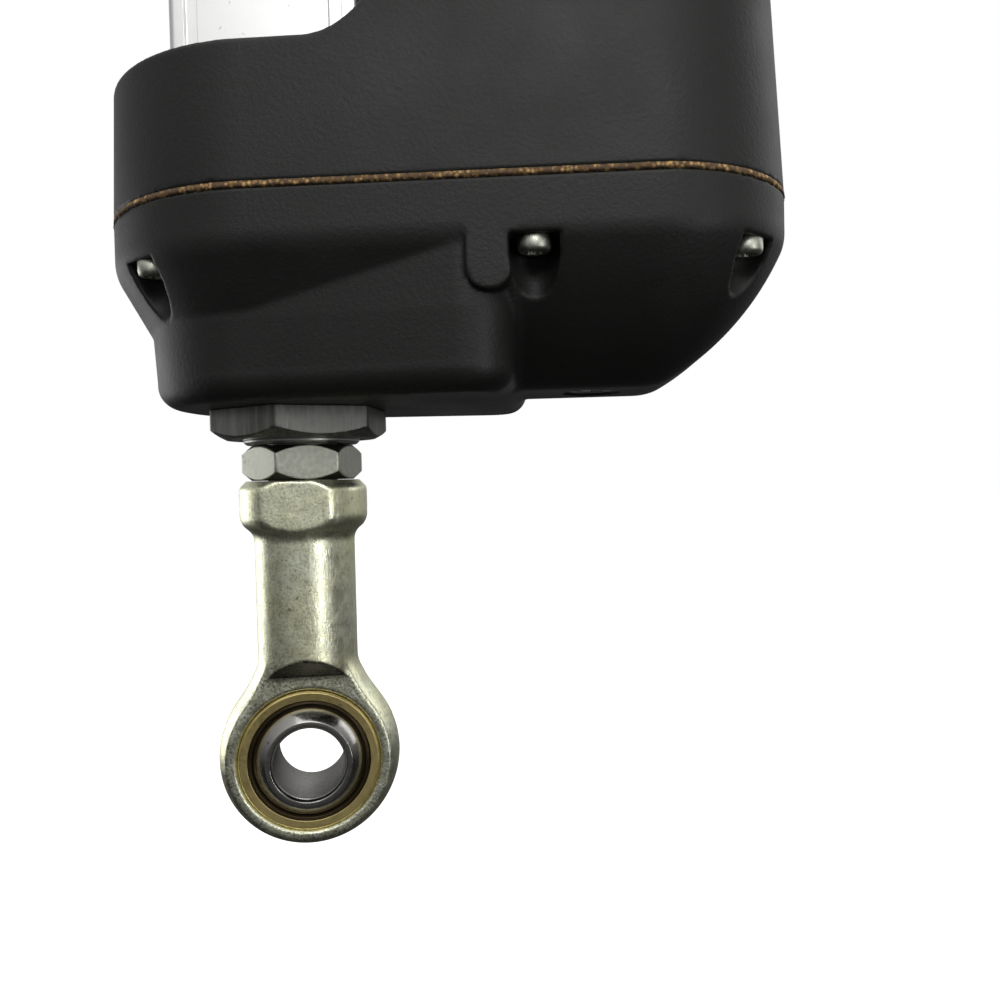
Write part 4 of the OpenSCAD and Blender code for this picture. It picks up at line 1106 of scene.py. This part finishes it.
def world():
    """White to the camera. For the object, bright above, dark below and dimmer to the sides."""
    sky = bpy.data.worlds.new("studio")
    s = Nodes(sky)
    s.tree.nodes.clear()
    coords = s.node("ShaderNodeTexCoord").outputs["Generated"]
    split = s.node("ShaderNodeSeparateXYZ", Vector=coords)
    grey = s.node("ShaderNodeValToRGB", Fac=s.ramp(split.outputs["Z"], -1.0, 1.0))
    stops = ((0.0, 0.03), (0.36, 0.06), (0.50, 0.34), (0.73, 0.85), (1.0, 0.7))
    colours = grey.color_ramp.elements
    while len(colours) < len(stops):
        colours.new(0.5)
    for element, (at, tone) in zip(colours, stops):
        element.position, element.color = at, (tone, tone, tone, 1)
    side = s.ramp(s.maths("ABSOLUTE", split.outputs["X"]), 0.3, 0.9, 1.0, 0.42)
    lit = s.node("ShaderNodeBackground", Color=grey.outputs[0], Strength=side)
    plain = s.node("ShaderNodeBackground", Color=(1, 1, 1, 1))
    seen = s.node("ShaderNodeLightPath").outputs["Is Camera Ray"]
    s.node("ShaderNodeOutputWorld", Surface=s.either(seen, lit, plain))
    SCENE.world = sky


def floor():
    """Pale floor well below the actuator, clear when it is seen from underneath."""
    mesh = bpy.data.meshes.new("floor")
    corners = ((-1, -1), (1, -1), (1, 1), (-1, 1))
    mesh.from_pydata([(x * FLOOR_HALF, y * FLOOR_HALF, FLOOR_Z) for x, y in corners], [],
                     [(0, 1, 2, 3)])
    obj = bpy.data.objects.new("floor", mesh)
    SCENE.collection.objects.link(obj)
    s = Shader("pale_floor")
    s.done((0.6, 0.6, 0.6), 0.9, Emission_Color=(1, 1, 1, 1), Emission_Strength=0.78)
    below = s.node("ShaderNodeNewGeometry").outputs["Backfacing"]
    clear = s.node("ShaderNodeBsdfTransparent")
    s.put(s.tree.nodes["Material Output"].inputs["Surface"], s.either(below, s.bsdf, clear))
    mesh.materials.append(s.material)
    obj.visible_diffuse = obj.visible_glossy = False


def lights():
    softbox("key", 48, -3, 0.75, 0.10, 0.42, 1.1)
    softbox("front", 8, 34, 0.9, 0.5, 0.3, 2.2)
    softbox("left_wall", -112, -2, 0.8, 0.5, 0.45, 1.5)
    softbox("right_wall", 116, 22, 0.8, 0.4, 0.6, 0.9)
    softbox("back", 176, 38, 0.9, 0.6, 0.4, 1.0)
    softbox("overhead", 10, 82, 0.9, 0.8, 0.8, 2.0)


MATERIALS = make_materials()
dress_cad_nodes()
castings()
gasket()
rod_ends()
nuts()
sleeve()
screws()
tube()
rod_and_wiper()
gland()
cable()
plug()
world()
floor()
lights()
camera()
SCENE.view_settings.view_transform = "Standard"

bpy.context.view_layer.update()
